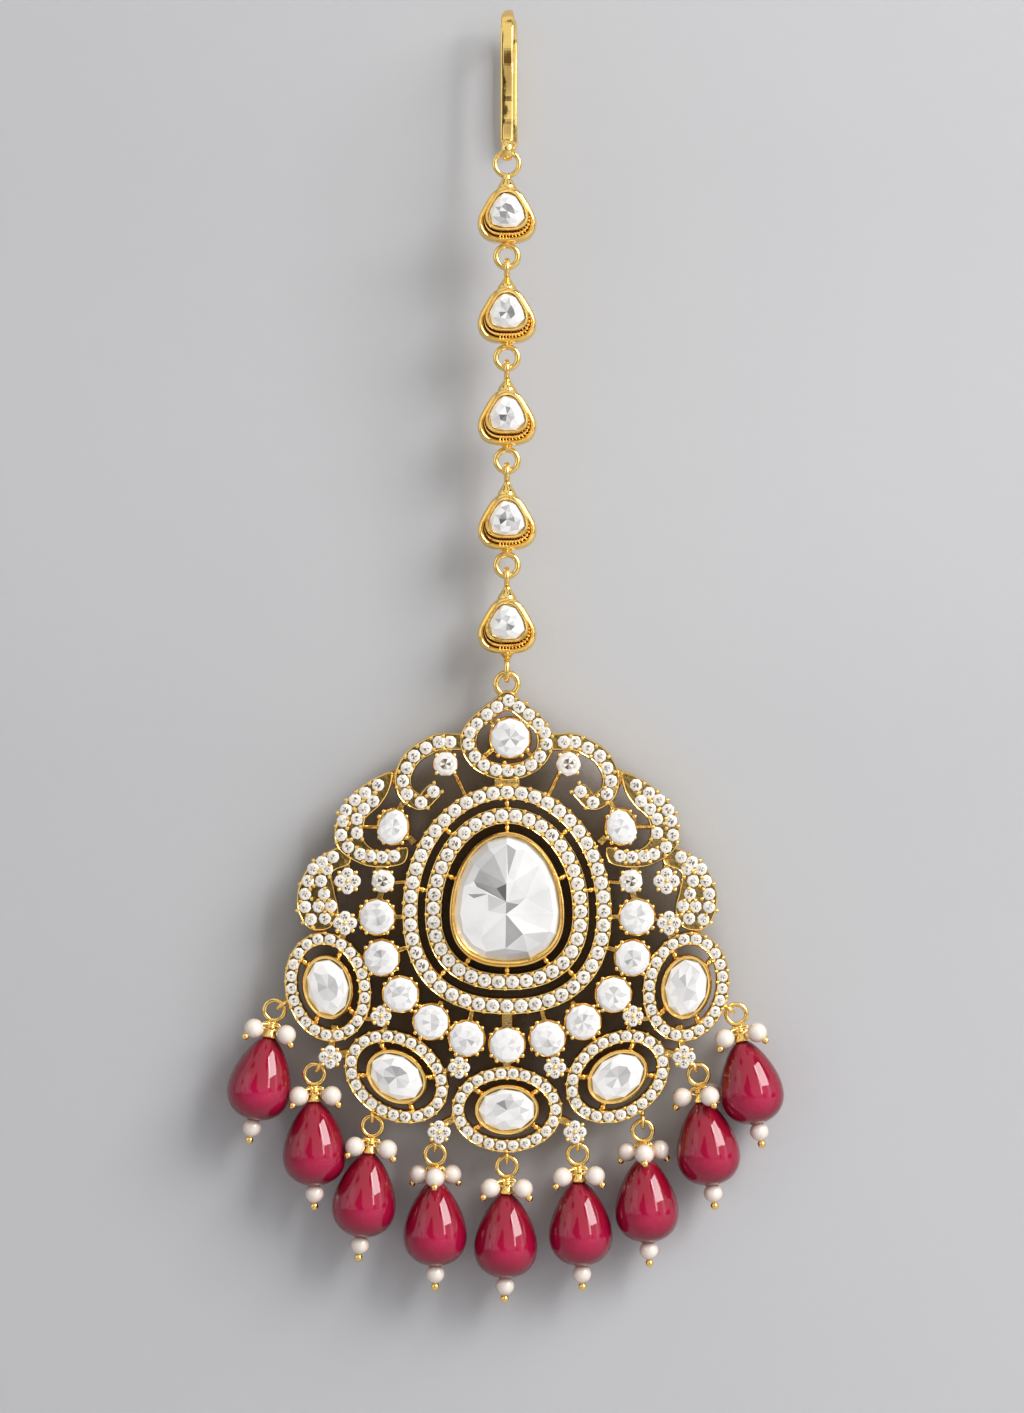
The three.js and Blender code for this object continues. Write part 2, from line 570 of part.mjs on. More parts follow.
// Jump ring, the pin that carries the ruby, and the small pearl and gold ball under it
function dropHanger() {
  const { length, below } = RUBY_DROP;
  const pearlZ = -below - length - SMALL_PEARL - PLAY;
  const ballZ = pearlZ - SMALL_PEARL - BALL.radius + BALL.sunk;
  return join([
    wireLoop({ ...JUMP_RING, z: 0 }),
    rod([0, 0, -JUMP_RING.radius], [0, 0, pearlZ], PIN),
    bead(SMALL_PEARL, 0, 0, pearlZ),
    bead(BALL.radius, 0, 0, ballZ, BALL.sides, BALL.rows),
  ]);
}

// Three pearls bound to a collar round the neck of the drop
function pearlCluster(turn) {
  const { inside, outside, half, z } = COLLAR;
  const pieces = [turned([[inside, z - half], [outside, z - half], [outside, z + half], [inside, z + half],
    [inside, z - half]], 8)];
  for (let i = 0; i < 3; i += 1) {
    const a = THREE.MathUtils.degToRad(turn + i * 120);
    pieces.push(bead(PEARL_RADIUS, PEARL_REACH * Math.cos(a), PEARL_REACH * Math.sin(a), z - PEARL_DROP));
  }
  return join(pieces);
}

// Assembly
const tikka = new THREE.Group();
const chain = new THREE.Group();
const pendant = new THREE.Group();
chain.position.set(0, CHAIN_Y, 0);
pendant.position.set(0, CHAIN_Y, PENDANT_Z);
tikka.add(makeMesh('hook', hook(), GOLD), chain, pendant);
LINKS.forEach((_, i) => {
  chain.add(makeMesh(`link_${i + 1}`, link(i), GOLD));
  chain.add(makeMesh(`link_stone_${i + 1}`, linkStone(i), CRYSTAL));
});
pendant.add(makeMesh('pendant_frame', pendantFrame(), GOLD));
pendant.add(makeMesh('centre_stone', bigStone(), CRYSTAL));
pendant.add(makeMesh('crest_stone', roundStone(CREST_STONE), CRYSTAL));
pendant.add(makeMesh('pear_stone_left', roundStone(PEAR_STONE), CRYSTAL));
pendant.add(makeMesh('pear_stone_right', roundStone({ ...PEAR_STONE, x: -PEAR_STONE.x }), CRYSTAL));
OVALS.forEach((row, i) => pendant.add(makeMesh(`oval_stone_${i + 1}`, ovalStone(row), CRYSTAL)));
GARLAND.forEach(({ x, z }, i) => {
  const stone = roundStone({ x, z, rx: GARLAND_STONE, rz: GARLAND_STONE });
  pendant.add(makeMesh(`garland_stone_${i + 1}`, stone, CRYSTAL));
});
DROPS.forEach(({ x, z, tilt, turn }, i) => {
  const drop = new THREE.Group();
  drop.position.set(x, 0, z);
  drop.rotation.y = THREE.MathUtils.degToRad(-tilt);
  drop.add(makeMesh(`drop_hanger_${i + 1}`, dropHanger(), GOLD));
  drop.add(makeMesh(`pearl_cluster_${i + 1}`, pearlCluster(turn), PEARL));
  drop.add(makeMesh(`ruby_drop_${i + 1}`, rubyDrop(), RUBY));
  pendant.add(drop);
});

export default tikka;
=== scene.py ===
"""Dresses the maang tikka: smooth gold, cut stones, small set stones, pearls, ruby drops and a plain studio."""
import math

import bmesh
import bpy
import numpy as np
from bpy.props import FloatProperty, FloatVectorProperty, PointerProperty
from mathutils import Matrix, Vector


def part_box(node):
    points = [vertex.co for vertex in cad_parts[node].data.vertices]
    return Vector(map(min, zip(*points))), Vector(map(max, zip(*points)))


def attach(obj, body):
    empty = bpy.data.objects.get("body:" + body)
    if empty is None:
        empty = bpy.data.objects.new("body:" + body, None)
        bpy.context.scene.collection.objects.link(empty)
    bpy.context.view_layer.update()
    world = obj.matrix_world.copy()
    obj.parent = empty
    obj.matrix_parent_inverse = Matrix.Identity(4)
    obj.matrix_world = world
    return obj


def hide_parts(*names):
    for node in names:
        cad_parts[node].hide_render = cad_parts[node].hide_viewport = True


bl_info = {
    "name": "Maang Tikka",
    "version": (1, 0, 0),
    "blender": (4, 5, 0),
    "location": "View3D > Sidebar > Maang Tikka",
    "description": "Builds the gold, stones, pearls and drops of a maang tikka on its frame",
    "category": "Object",
}

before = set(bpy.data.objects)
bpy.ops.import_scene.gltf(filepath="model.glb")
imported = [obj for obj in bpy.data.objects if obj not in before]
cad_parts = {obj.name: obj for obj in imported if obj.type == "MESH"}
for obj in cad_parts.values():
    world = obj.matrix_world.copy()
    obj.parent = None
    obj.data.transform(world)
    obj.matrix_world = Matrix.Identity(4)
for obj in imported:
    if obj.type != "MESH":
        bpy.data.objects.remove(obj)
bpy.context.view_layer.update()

MM = 0.001
CHAIN_AT = (0.0, -2.75, 0.0)
PENDANT_AT = (0.0, -2.75, -88.5)
BACK = 0.9
WIRE, RING, LOOP, STRETCH = 0.6, 1.1, 0.8, 0.18
TAU = 2 * math.pi

# Links: height of each body and of the ring below it
LINKS = [(-20.25, -24.15), (-30.3, -34.3), (-40.55, -44.6), (-51.0, -55.1), (-61.4, None)]
FIRST_RING = (-14.85, 1.22, 0.52)
PIVOT_Z = -66.6
LINK_SIZE, LINK_STONE, LINK_LIFT = 2.85, 1.75, 0.45

# Egg rings of the pendant: half width, top, bottom, widest line
EGGS = {
    "stone": (5.3, 6.35, -6.15, -1.5),
    "bezel": (5.8, 6.8, -6.85, -1.5),
    "inner_hole": (6.45, 7.45, -7.4, -1.3),
    "inner_edge": (8.3, 9.25, -9.2, -1.2),
    "outer_hole": (8.85, 9.9, -9.85, -1.2),
    "outer_edge": (10.55, 11.5, -11.6, -1.2),
}
EGG_POWER = 2.35
CREST_EDGE = [(0, 20.9), (1.5, 19.9), (3.65, 18.1), (4.7, 16.4), (4.6, 14.8), (3.6, 13.2), (2, 12.2), (0, 11.8)]
CREST_HOLE = [(0, 18.8), (1.5, 17.8), (2.8, 16.6), (2.9, 15.2), (1.8, 14), (0, 13.6)]
CREST_STONE = (0.3, 16.1, 1.97)
SCROLL = [(-4.6, 15.7), (-6.8, 15.7), (-8.1, 15.1), (-9.3, 14.3), (-10.1, 13.1), (-10.4, 11.8),
          (-10, 10.5), (-8.6, 9.7), (-7.4, 10.7)]
SCROLL_HALF = 0.9
CRESCENT = [(-11.5, 12.7), (-14.7, 11.2), (-16.4, 9.3), (-17.3, 6.6), (-16.9, 5), (-15, 3.6), (-13.2, 3.1),
            (-10.2, 3.6), (-9.9, 5.2), (-11.7, 4.9), (-13.2, 5), (-14.2, 5.9), (-14.1, 7.9), (-12.7, 9.3),
            (-11.7, 10.9)]
LOBE = [(-16, 5.3), (-18.2, 4.6), (-19.9, 3.2), (-21, 0.6), (-20.8, -1.6), (-19.6, -3.1), (-17.6, -2.9),
        (-16.8, -1.2), (-17.2, 0.9), (-17.4, 2.6), (-15.6, 3.6)]
PEAR_STONE = (-11.4, 7.2, 1.5, 1.75)
PEAR_LEAN = (0, 0.17, -0.17)  # the crest stone's and the two pear stones' narrowing and lean
OVALS = [(-17.9, -8.8, 102), (-11.05, -17.75, -33), (0, -21.05, 0), (11.05, -17.75, 33), (17.9, -8.8, 78)]
OVAL = {"edge": (5.6, 4.35), "hole": (4.2, 2.95), "wall": (3.3, 2.55), "stone": (2.85, 2.1)}
GARLAND = [(-13, -1.8), (-12.55, -5.9), (-10.65, -9.55), (-7.6, -12.3), (-4.05, -13.95), (0, -14.6),
           (4.05, -13.95), (7.6, -12.3), (10.65, -9.55), (12.55, -5.9), (13, -1.8)]
GARLAND_R = 1.75
# Small clusters of one side: place, radius and how many stones each holds
CLUSTERS = [(-6.15, 13.5, 1.25, 1), (-15.95, 1.8, 1.2, 4), (-12.4, 1.8, 1.2, 1), (-16.2, -2.4, 1.1, 4),
            (-12.6, -11.7, 0.95, 4), (-4.8, -16.85, 1.0, 4), (-17.7, -15.8, 1.05, 4), (-6.8, -23.3, 1.05, 4)]
SIDE_BARS = [
    ((-5.4, 12.9), (-4.1, 10.2), 0.5), ((-6.15, 14.4), (-6.15, 15.2), 1.4), ((-11.5, 12.9), (-10.6, 10.6), 0.9),
    ((-10.2, 10), (-10.9, 8.7), 0.7), ((-14.6, 7.2), (-12.6, 7.2), 0.5), ((-9.9, 6.2), (-9.2, 5.5), 0.8),
    ((-13, 3.4), (-12.6, 2.6), 0.9), ((-16, 4), (-16, 2.6), 0.8), ((-12.5, 1), (-12.9, -0.5), 0.8),
    ((-11.5, 1.6), (-10.2, 1.7), 0.5), ((-11.6, -1.8), (-10.2, -1.8), 0.6), ((-17.5, 1.5), (-16.6, 1.7), 0.6),
    ((-16.2, -3), (-16.9, -4.8), 0.9), ((-15.4, -2.2), (-14.4, -2), 0.5), ((-11.2, -5.2), (-9.6, -4.8), 0.6),
    ((-14, -6.2), (-14.2, -7.2), 0.8), ((-7, -11.2), (-6.5, -10.2), 0.6), ((-3.8, -12.6), (-3.5, -11.1), 0.6),
    ((-11.8, -11), (-11.3, -10.6), 0.6), ((-13.4, -12), (-14.4, -12), 0.6), ((-12.4, -12.4), (-11.9, -13.7), 0.6),
    ((-4.6, -15.6), (-4.6, -17.8), 0.7), ((-5.6, -17), (-6.8, -17.3), 0.6), ((-16.8, -15.6), (-15.2, -15.3), 0.9),
    ((-17.6, -15), (-17.2, -12.6), 0.8), ((-6.4, -22.6), (-5, -21.9), 0.9),
]
MIDDLE_BARS = [
    ((1.6, 17.3), (2.2, 18), 0.6), ((-1.1, 17.4), (-1.9, 18.1), 0.6), ((2, 14.8), (2.7, 14), 0.6),
    ((-1.5, 14.9), (-2.6, 14), 0.6), ((0, 12.2), (0, 11), 2.6), ((0, -11.2), (0, -13), 1.2),
    ((0, -16.2), (0, -17.2), 0.9),
]
OUTER_GAP_BARS = [90, 48, 132, 12, 168, 315, 225]
INNER_GAP_BARS = [90, 25, 155, 305, 235, 270]
OVAL_GAP_BARS = [40, 140, 220, 320]

# Drops: jump ring place, its swing, tilt of the ruby, turn of the three pearls, foot of the eye's stem
DROPS = [
    (-23.3, -11.2, 53, -11, 90, (-21.8, -9.6)), (-19.3, -17.6, 30, 0, 97, (-18.1, -15.9)),
    (-13.5, -22.8, 0, -6, 98, (-13.6, -20.9)), (-7.2, -25.65, 0, 0, -90, (-6.9, -23.4)),
    (0, -26.85, 0, -1, 90, (0, -24.8)), (7.1, -25.65, 0, 2, 90, (6.9, -23.4)),
    (13.6, -23.3, 0, 3, -90, (13.5, -20.9)), (19.2, -17.65, -27, 7, -66, (18.1, -15.8)),
    (23, -11.6, -53, 11, 90, (21.5, -9.9)),
]
# Painted dark reflection bands on the hook's front: place across, half width, height, half length, depth of tone
HOOK_PAINTED_REFLECTIONS = [(0.1, 0.42, -4.3, 0.8, 0.95), (0.1, 0.42, -6.3, 2.0, 0.5), (0.1, 0.4, -8.5, 0.25, 0.8),
                (0.1, 0.42, -11.5, 0.8, 0.45), (0.1, 0.42, -10.8, 0.16, 0.5), (0.1, 0.4, -13.3, 0.4, 0.85)]
JUMP_RING, JUMP_WIRE, EYE, EYE_WIRE = 1.0, 0.48, 0.62, 0.4
RUBY_TOP, RUBY_LENGTH, RUBY_R, RUBY_FULL, RUBY_PEAK = -2.6, 8.6, 3.2, 0.35, 1.054
PEARL_R, PEARL_OUT, PEARL_Z = 1.0, 1.9, -2.1
FOOT_PEARL_R, FOOT_PEARL_Z, FOOT_BALL_R, FOOT_BALL_Z = 0.95, -11.98, 0.42, -13.25

# Small set stones: how far in front they sit, and the beads between them; stones of each oval halo
SET_Y, BEAD_Y, BEAD_SHARE, BEAD_ASIDE, OVAL_COUNT = -0.95, -1.04, 0.36, 0.9, 22
# Flowers of the clusters: how far out their four stones stand and how large they are, over the cluster's radius
FLOWER_OUT, FLOWER_SIZE, CLUSTER_Y = 0.58, 0.54, -0.98
CLAW_R, CLAW_SPREAD, CLAW_OUT = 0.24, 11, 0.14

# Small set stones that follow no plain curve (one side): place of each
CREST_SET = [(0.17, 19.85), (-1.0, 19.2), (-2.0, 18.45), (-3.0, 17.5), (-3.7, 16.65), (-3.85, 15.5),
             (-3.2, 14.25), (-2.3, 13.4), (-1.1, 12.9), (0.1, 12.85), (1.2, 19.2), (2.2, 18.45), (3.15, 17.5),
             (3.8, 16.65), (3.95, 15.5), (3.3, 14.25), (2.4, 13.4), (1.25, 12.9)]
SCROLL_SET = [(-5.7, 15.7), (-6.8, 15.7), (-8.1, 15.1), (-9.3, 14.3), (-10, 13.1), (-10.4, 11.8),
              (-10, 10.5), (-8.6, 9.65), (-7.35, 10.75)]
CRESCENT_SET = [(-12.9, 11.4), (-14.2, 10.6), (-15.2, 9.9), (-16.1, 8.9), (-16.4, 7.8), (-16.6, 6.4),
                (-15.9, 5.2), (-14.7, 4.5), (-13.7, 4.3), (-12.5, 4.2), (-11.3, 4.3), (-13.4, 9.8),
                (-14.3, 9), (-15, 8), (-15, 6.6)]
LOBE_SET = [(-17.4, 4.2), (-18.5, 3.7), (-19.4, 3), (-18, 3), (-19.9, 1.8), (-18.6, 1.8), (-20.2, 0.5),
            (-18.3, 0.5), (-20.2, -0.8), (-18.84, -0.75), (-17.6, -0.7), (-19.63, -2.05), (-18.2, -1.94)]

# The big stone: inner corners of its facets; c0 to c15 are the crown's corners, from the right and anticlockwise
BIG_CORNERS = {
    "P": (-1.3, 4.5), "Q": (-2.7, 3.05), "L": (-3.3, 1.85), "M": (-3, 1.3), "F": (-0.06, 1.6), "G": (-1.05, 1.15),
    "K": (-0.08, -0.2), "J": (-0.1, -1.4), "W": (-3.9, 0.55), "Y": (-3.3, 0.15), "X": (-1.9, 0.6),
    "N": (-1.84, -1.12), "E": (-2.6, -3.8), "B": (-0.15, -4.85), "D": (1.6, -3.4), "R": (1.85, 0.2),
    "U": (1.2, -0.45), "T": (0.75, 1.85),
    "S": (0.1, 2.4), "V": (0.9, 4.95),
}
# Corners and painted reflection tone of each facet
BIG_FACETS = [
    ("c4 c5 P", .93), ("c5 c6 Q P", .84), ("c6 c7 L Q", .9), ("c4 P F", .82), ("P Q F", .77), ("Q G F", .72),
    ("Q L G", .68), ("L K G", .6), ("G K F", .34), ("L M K", .42), ("c7 W M L", 1), ("c7 c8 W", .96), ("M W X K", 1),
    ("W Y X", .62), ("X N K", .82), ("N J K", .9), ("c8 Y W", 1), ("c8 N Y", 1), ("Y N X", 1), ("c8 c9 N", 1),
    ("c9 E N", .98), ("c9 c10 E", 1), ("N E J", 1), ("J E B", .93), ("c10 c11 E", 1), ("E c11 B", .95),
    ("c11 c12 B", .76), ("J B D", .6), ("B c12 c13", .74), ("B c13 D", .84), ("D c13 c14", .9), ("D c14 c15", .82),
    ("J D c15", .97), ("J c15 c0", .94), ("J c0 R", .97), ("c0 c1 R", .9), ("K J U", .5), ("J R U", .95),
    ("K U R", .8), ("K R T", .88), ("K T F", .92), ("F T S", .93), ("c4 F S", .88), ("c4 S V", .66), ("c4 V c3", .97),
    ("V S T c3", .93), ("T R c2", .89), ("T c2 c3", .95), ("R c1 c2", .92),
]
# Painted reflection tone of each of the sixteen bevel facets
BIG_BEVEL = [1, .97, .95, 1, .86, .8, .88, .95, 1, 1, .98, .8, .7, .9, .85, .95]


# ------------------------------------------------------------------ curves
def spline(points, count, closed=False):
    """Centripetal spline: each span is a Hermite cubic whose end slopes weigh its neighbours by root chord."""
    p = np.asarray(points, float)
    spans = len(p) if closed else len(p) - 1
    u = np.linspace(0, spans, count, endpoint=not closed)
    i = np.minimum(u.astype(int), spans - 1)
    t = (u - i)[:, None]
    if closed:
        a, b, c, d = (p[(i + k) % len(p)] for k in (-1, 0, 1, 2))
    else:
        e = np.vstack([2 * p[0] - p[1], p, 2 * p[-1] - p[-2]])
        a, b, c, d = (e[i + 1 + k] for k in (-1, 0, 1, 2))
    h0, h1, h2 = (np.sqrt(np.linalg.norm(w, axis=1))[:, None] for w in (b - a, c - b, d - c))
    s1 = ((b - a) / h0 - (c - a) / (h0 + h1) + (c - b) / h1) * h1
    s2 = ((c - b) / h1 - (d - b) / (h1 + h2) + (d - c) / h2) * h1
    return b + s1 * t + (3 * (c - b) - 2 * s1 - s2) * t ** 2 + (2 * (b - c) + s1 + s2) * t ** 3


def evened(curve, count, closed=True):
    """The same curve with its points spread evenly along its length."""
    c = np.vstack([curve, curve[:1]]) if closed else curve
    length = np.concatenate([[0], np.cumsum(np.linalg.norm(np.diff(c, axis=0), axis=1))])
    s = np.linspace(0, length[-1], count, endpoint=not closed)
    return np.stack([np.interp(s, length, c[:, k]) for k in range(c.shape[1])], 1)


def egg(size, count):
    """x = a cos t, z = w + (top - w) sin t above the widest line w, and a superellipse of power 2.35 below it."""
    half, top, bottom, widest = size
    t = np.linspace(0, TAU, count, endpoint=False)
    c, s = np.cos(t), np.sin(t)
    low = 2 / EGG_POWER
    x = half * np.where(s < 0, np.sign(c) * np.abs(c) ** low, c)
    z = np.where(s < 0, widest - (widest - bottom) * np.abs(s) ** low, widest + (top - widest) * s)
    return np.stack([x, z], 1)


def ellipse(x, z, rx, rz, lean=0.0, count=48):
    """The ellipse (rx cos t, rz sin t), turned by its lean and moved to its centre."""
    t = np.linspace(0, TAU, count, endpoint=False)
    u, v, a = rx * np.cos(t), rz * np.sin(t), math.radians(lean)
    return np.stack([x + u * math.cos(a) - v * math.sin(a), z + u * math.sin(a) + v * math.cos(a)], 1)


def pear_outline(x, z, rx, rz, pear, count):
    """An ellipse narrowed and leaned at its top: half width rx (1 - |pear| sin t), shifted by 0.9 pear rz sin t."""
    t = np.linspace(0, TAU, count, endpoint=False)
    s = np.sin(t)
    return np.stack([x + rx * np.cos(t) * (1 - abs(pear) * s) + 0.9 * pear * rz * s, z + rz * s], 1)


def trefoil(size, x, z, count):
    """A triangle with round corners: r = size (1 + 0.1 cos 3(t - 90 degrees))."""
    t = np.linspace(0, TAU, count, endpoint=False)
    r = size * (1 + 0.1 * np.cos(3 * (t - math.pi / 2)))
    return np.stack([x + r * np.cos(t), z + r * np.sin(t)], 1)


def symmetric(half):
    """A closed outline from its right half, listed from the top to the bottom; it runs anticlockwise."""
    return (half + [(-x, z) for x, z in half[-2:0:-1]])[::-1]


def inward(curve):
    """Unit normals of a closed anticlockwise outline that point to its inside."""
    t = np.roll(curve, -1, 0) - np.roll(curve, 1, 0)
    n = np.stack([-t[:, 1], t[:, 0]], 1)
    return n / np.linalg.norm(n, axis=1)[:, None]


# ------------------------------------------------------------------ shells
class Shell:
    """A closed surface: points in millimetres, faces in arrays by their number of corners, a tone for each face."""

    def __init__(self, points, faces, tones=None):
        self.points = np.asarray(points, float)
        self.faces = faces
        self.tones = tones or [np.ones(len(f)) for f in faces]

    def moved(self, x=0.0, y=0.0, z=0.0):
        """Shifted, in millimetres."""
        return Shell(self.points + np.array([x, y, z]), self.faces, self.tones)

    def turned(self, degrees):
        """Turned about Y: a positive angle takes +X towards +Z."""
        c, s = math.cos(math.radians(degrees)), math.sin(math.radians(degrees))
        x, y, z = self.points.T
        return Shell(np.stack([x * c - z * s, y, x * s + z * c], 1), self.faces, self.tones)

    def flipped(self):
        """Mirrored left to right, with its faces turned back outwards."""
        return Shell(self.points * np.array([-1, 1, 1]), [f[:, ::-1] for f in self.faces], self.tones)


def merged(shells):
    """All the shells as one, with their corner numbers shifted on."""
    start = np.cumsum([0] + [len(s.points) for s in shells])
    faces = [f + k for s, k in zip(shells, start) for f in s.faces]
    tones = [t for s in shells for t in s.tones]
    return Shell(np.vstack([s.points for s in shells]), faces, tones)


def repeated(shell, places, turns=None, sizes=None):
    """A copy of the shell at each (x, y, z) row, turned about Y and sized by its own rows, as one array."""
    places = np.asarray(places, float)
    k, n = len(places), len(shell.points)
    a = np.radians(np.zeros(k) if turns is None else np.asarray(turns, float))[:, None]
    m = (np.ones(k) if sizes is None else np.asarray(sizes, float))[:, None]
    x, y, z = shell.points.T
    p = np.stack([m * (x * np.cos(a) - z * np.sin(a)), m * y, m * (x * np.sin(a) + z * np.cos(a))], -1)
    p = (p + places[:, None, :]).reshape(-1, 3)
    step = (np.arange(k) * n)[:, None, None]
    faces = [(f[None] + step).reshape(-1, f.shape[1]) for f in shell.faces]
    return Shell(p, faces, [np.tile(t, k) for t in shell.tones])


def loft(rings, ends="flat", tips=None):
    """A skin over rings of equal count: its ends are flat, fans to tips, or wrap, which joins last to first."""
    rings = np.asarray(rings, float)
    m, n = rings.shape[:2]
    ids = np.arange(m * n).reshape(m, n)
    rows = np.vstack([ids, ids[:1]]) if ends == "wrap" else ids
    a, b = rows[:-1], rows[1:]
    faces = [np.stack([a, np.roll(a, -1, 1), np.roll(b, -1, 1), b], -1).reshape(-1, 4)]
    points = rings.reshape(-1, 3)
    if ends == "flat":
        faces += [ids[:1, ::-1], ids[-1:]]
    if ends == "fan":
        tips = rings[[0, -1]].mean(1) if tips is None else np.asarray(tips, float)
        points = np.vstack([points, tips])
        low, high = np.full(n, m * n), np.full(n, m * n + 1)
        faces += [np.stack([low, np.roll(ids[0], -1), ids[0]], 1), np.stack([high, ids[-1], np.roll(ids[-1], -1)], 1)]
    return Shell(points, faces)


def lay(outline, y):
    """An outline in the XZ plane as points at depth y."""
    return np.stack([outline[:, 0], np.broadcast_to(y, len(outline)), outline[:, 1]], 1)


RAIL = [(0.35, BACK), (0.12, 0.86), (0, 0.7), (0, -0.72), (0.03, -0.96), (0.1, -1.07), (0.18, -1.04), (0.23, -0.9),
        (0.25, -0.74)]


def plate(outline, profile=RAIL, floor=1.0):
    """A plate: its outline stepped inwards along its normals by each (inset, depth) of the profile."""
    n = inward(outline)
    shell = loft([lay(outline + n * w, y) for w, y in profile])
    # The floor's tone below 1 is painted shade in the recess.
    shell.tones[-1][:] = floor
    return shell


def across(outer, inner, section, floor=None):
    """A ring between two outlines: (1 - v) outer + v inner at each (v, depth) of a closed section."""
    shell = loft([lay(outer * (1 - v) + inner * v, y) for v, y in section], "wrap")
    if floor is not None:
        # The floor rows' tone below 1 is painted shade in the recess.
        shell.tones[0].reshape(len(section), -1)[FLOOR_ROWS] = floor
    return shell


# Floor rows of a band's section and their tone: a tone below 1 is painted shade between the stones.
FLOOR_ROWS = slice(5, 8)
FLOOR_TONE = 0.42


def band_section(width):
    """Section of a stone-set band: a rounded rail at each edge and a floor between them, flat at the back."""
    rail = [(0, 0.7), (0, -0.72), (0.04, -0.98), (0.12, -1.12), (0.2, -1.08), (0.26, -0.9), (0.27, -0.74)]
    near = [(w / width, y) for w, y in rail]
    far = [(1 - v, y) for v, y in near[::-1]]
    return near + far + [(1 - 0.2 / width, BACK), (0.2 / width, BACK)]


def torus(radius, wire, axis="y", steps=36, sides=12, stretch=0.0):
    """((R + r cos v) cos u, (R + r cos v) sin u, r sin v), drawn out by its stretch; its axis is Y, X or Z."""
    u = np.linspace(0, TAU, steps, endpoint=False)[:, None]
    v = np.linspace(0, TAU, sides, endpoint=False)[None]
    w = radius + wire / 2 * np.cos(v)
    p, q = w * np.cos(u), w * np.sin(u) + np.sign(np.sin(u)) * stretch
    r = np.broadcast_to(wire / 2 * np.sin(v), p.shape)
    order = {"y": (p, r, q), "x": (r, p, q), "z": (p, q, r)}[axis]
    return loft(np.stack(order, -1), "wrap")


def ball(radius, sides=24, rows=12, squash=1.0):
    """r (sin v cos u, sin v sin u, cos v), flattened along Z by its squash."""
    v = np.linspace(0, math.pi, rows + 1)[1:-1, None]
    u = np.linspace(0, TAU, sides, endpoint=False)[None]
    z = np.broadcast_to(np.cos(v) * squash, (rows - 1, sides))
    rings = radius * np.stack([np.sin(v) * np.cos(u), np.sin(v) * np.sin(u), z], -1)
    return loft(rings, "fan", [(0, 0, radius * squash), (0, 0, -radius * squash)])


def turned_body(profile, sides=32, axis="z"):
    """A profile of (radius, height) carried round Z, or round Y with height as depth; flat caps close it."""
    r, h = np.asarray(profile, float).T
    u = np.linspace(0, TAU, sides, endpoint=False)
    p, q = r[:, None] * np.cos(u), r[:, None] * np.sin(u)
    h = np.broadcast_to(h[:, None], p.shape)
    return loft(np.stack([p, q, h] if axis == "z" else [p, h, q], -1))


def tube(path, radius, sides=10, flat=1.0):
    """A round section carried along a path, with its sides square to the path's own direction at each point."""
    path = np.asarray(path, float)
    t = np.gradient(path, axis=0)
    t /= np.linalg.norm(t, axis=1)[:, None]
    up = np.where(np.abs(t[:, 1:2]) > 0.9, [[1.0, 0, 0]], [[0, 1.0, 0]])
    a = np.cross(t, up)
    a /= np.linalg.norm(a, axis=1)[:, None]
    b = np.cross(t, a) * flat
    v = np.linspace(0, TAU, sides, endpoint=False)
    r = np.broadcast_to(radius, len(path))[:, None, None]
    rings = path[:, None] + r * (np.cos(v)[None, :, None] * a[:, None] + np.sin(v)[None, :, None] * b[:, None])
    return loft(rings)


def bar(start, end, width):
    """A bar between two points of the XZ plane with softly rounded long edges."""
    a, b = np.array(start, float), np.array(end, float)
    d = (b - a) / np.linalg.norm(b - a)
    s = np.array([-d[1], d[0]]) * width / 2
    return plate(np.array([a - s, b - s, b + s, a + s]), [(0, 0.8), (0, -0.55), (0.06, -0.74), (0.16, -0.82)])


def cut_stone(outline_of, count, centre, rows, foot, tones, seed):
    """Facets between rings of one outline, each ring turned half a step from the last and sized by its row."""
    rng = np.random.default_rng(seed)
    rings = []
    for k, (size, y) in enumerate(rows):
        whole = outline_of(2 * count)[(k % 2)::2]
        rings.append(lay(np.array(centre) + (whole - centre) * size, y))
    m, n = len(rings), count
    ids = np.arange(m * n).reshape(m, n)
    a, b = ids[:-1], ids[1:]
    odd = (np.arange(m - 1) % 2)[:, None]
    ahead_a, ahead_b = np.roll(a, -1, 1), np.roll(b, -1, 1)
    first = np.where(odd[..., None] == 0, np.stack([a, ahead_a, b], -1), np.stack([a, b, ahead_b], -1))
    second = np.where(odd[..., None] == 0, np.stack([ahead_a, ahead_b, b], -1), np.stack([a, ahead_b, ahead_a], -1))
    top, low = ids[-1], ids[0]
    apex, base = m * n, m * n + 1
    points = np.vstack([np.concatenate(rings), [[centre[0], rows[-1][1] - 0.02, centre[1]]],
                        [[centre[0], foot, centre[1]]]])
    faces = [first.reshape(-1, 3), second.reshape(-1, 3),
             np.stack([top, np.roll(top, -1), np.full(n, apex)], 1),
             np.stack([np.roll(low, -1), low, np.full(n, base)], 1)]
    # The facets' tones are painted reflections: each row's tone, scattered at random into lighter and darker facets.
    shade = np.asarray(tones, float)
    band = np.repeat(shade[:m - 1], n)
    wild = lambda base_tone: np.clip(base_tone + rng.normal(0, 1, len(base_tone)) * (1.06 - base_tone) * 0.8, 0.1, 1)
    middle = wild(np.full(n, shade[m - 1]))
    return Shell(points, faces, [wild(band), wild(band), middle, np.full(n, 0.5)])


# ------------------------------------------------------------------ materials
def socket(group, name, kind, way, default=None):
    """Adds one socket to a node group's face."""
    s = group.interface.new_socket(name=name, in_out=way, socket_type="NodeSocket" + kind)
    if default is not None:
        s.default_value = default
    return s


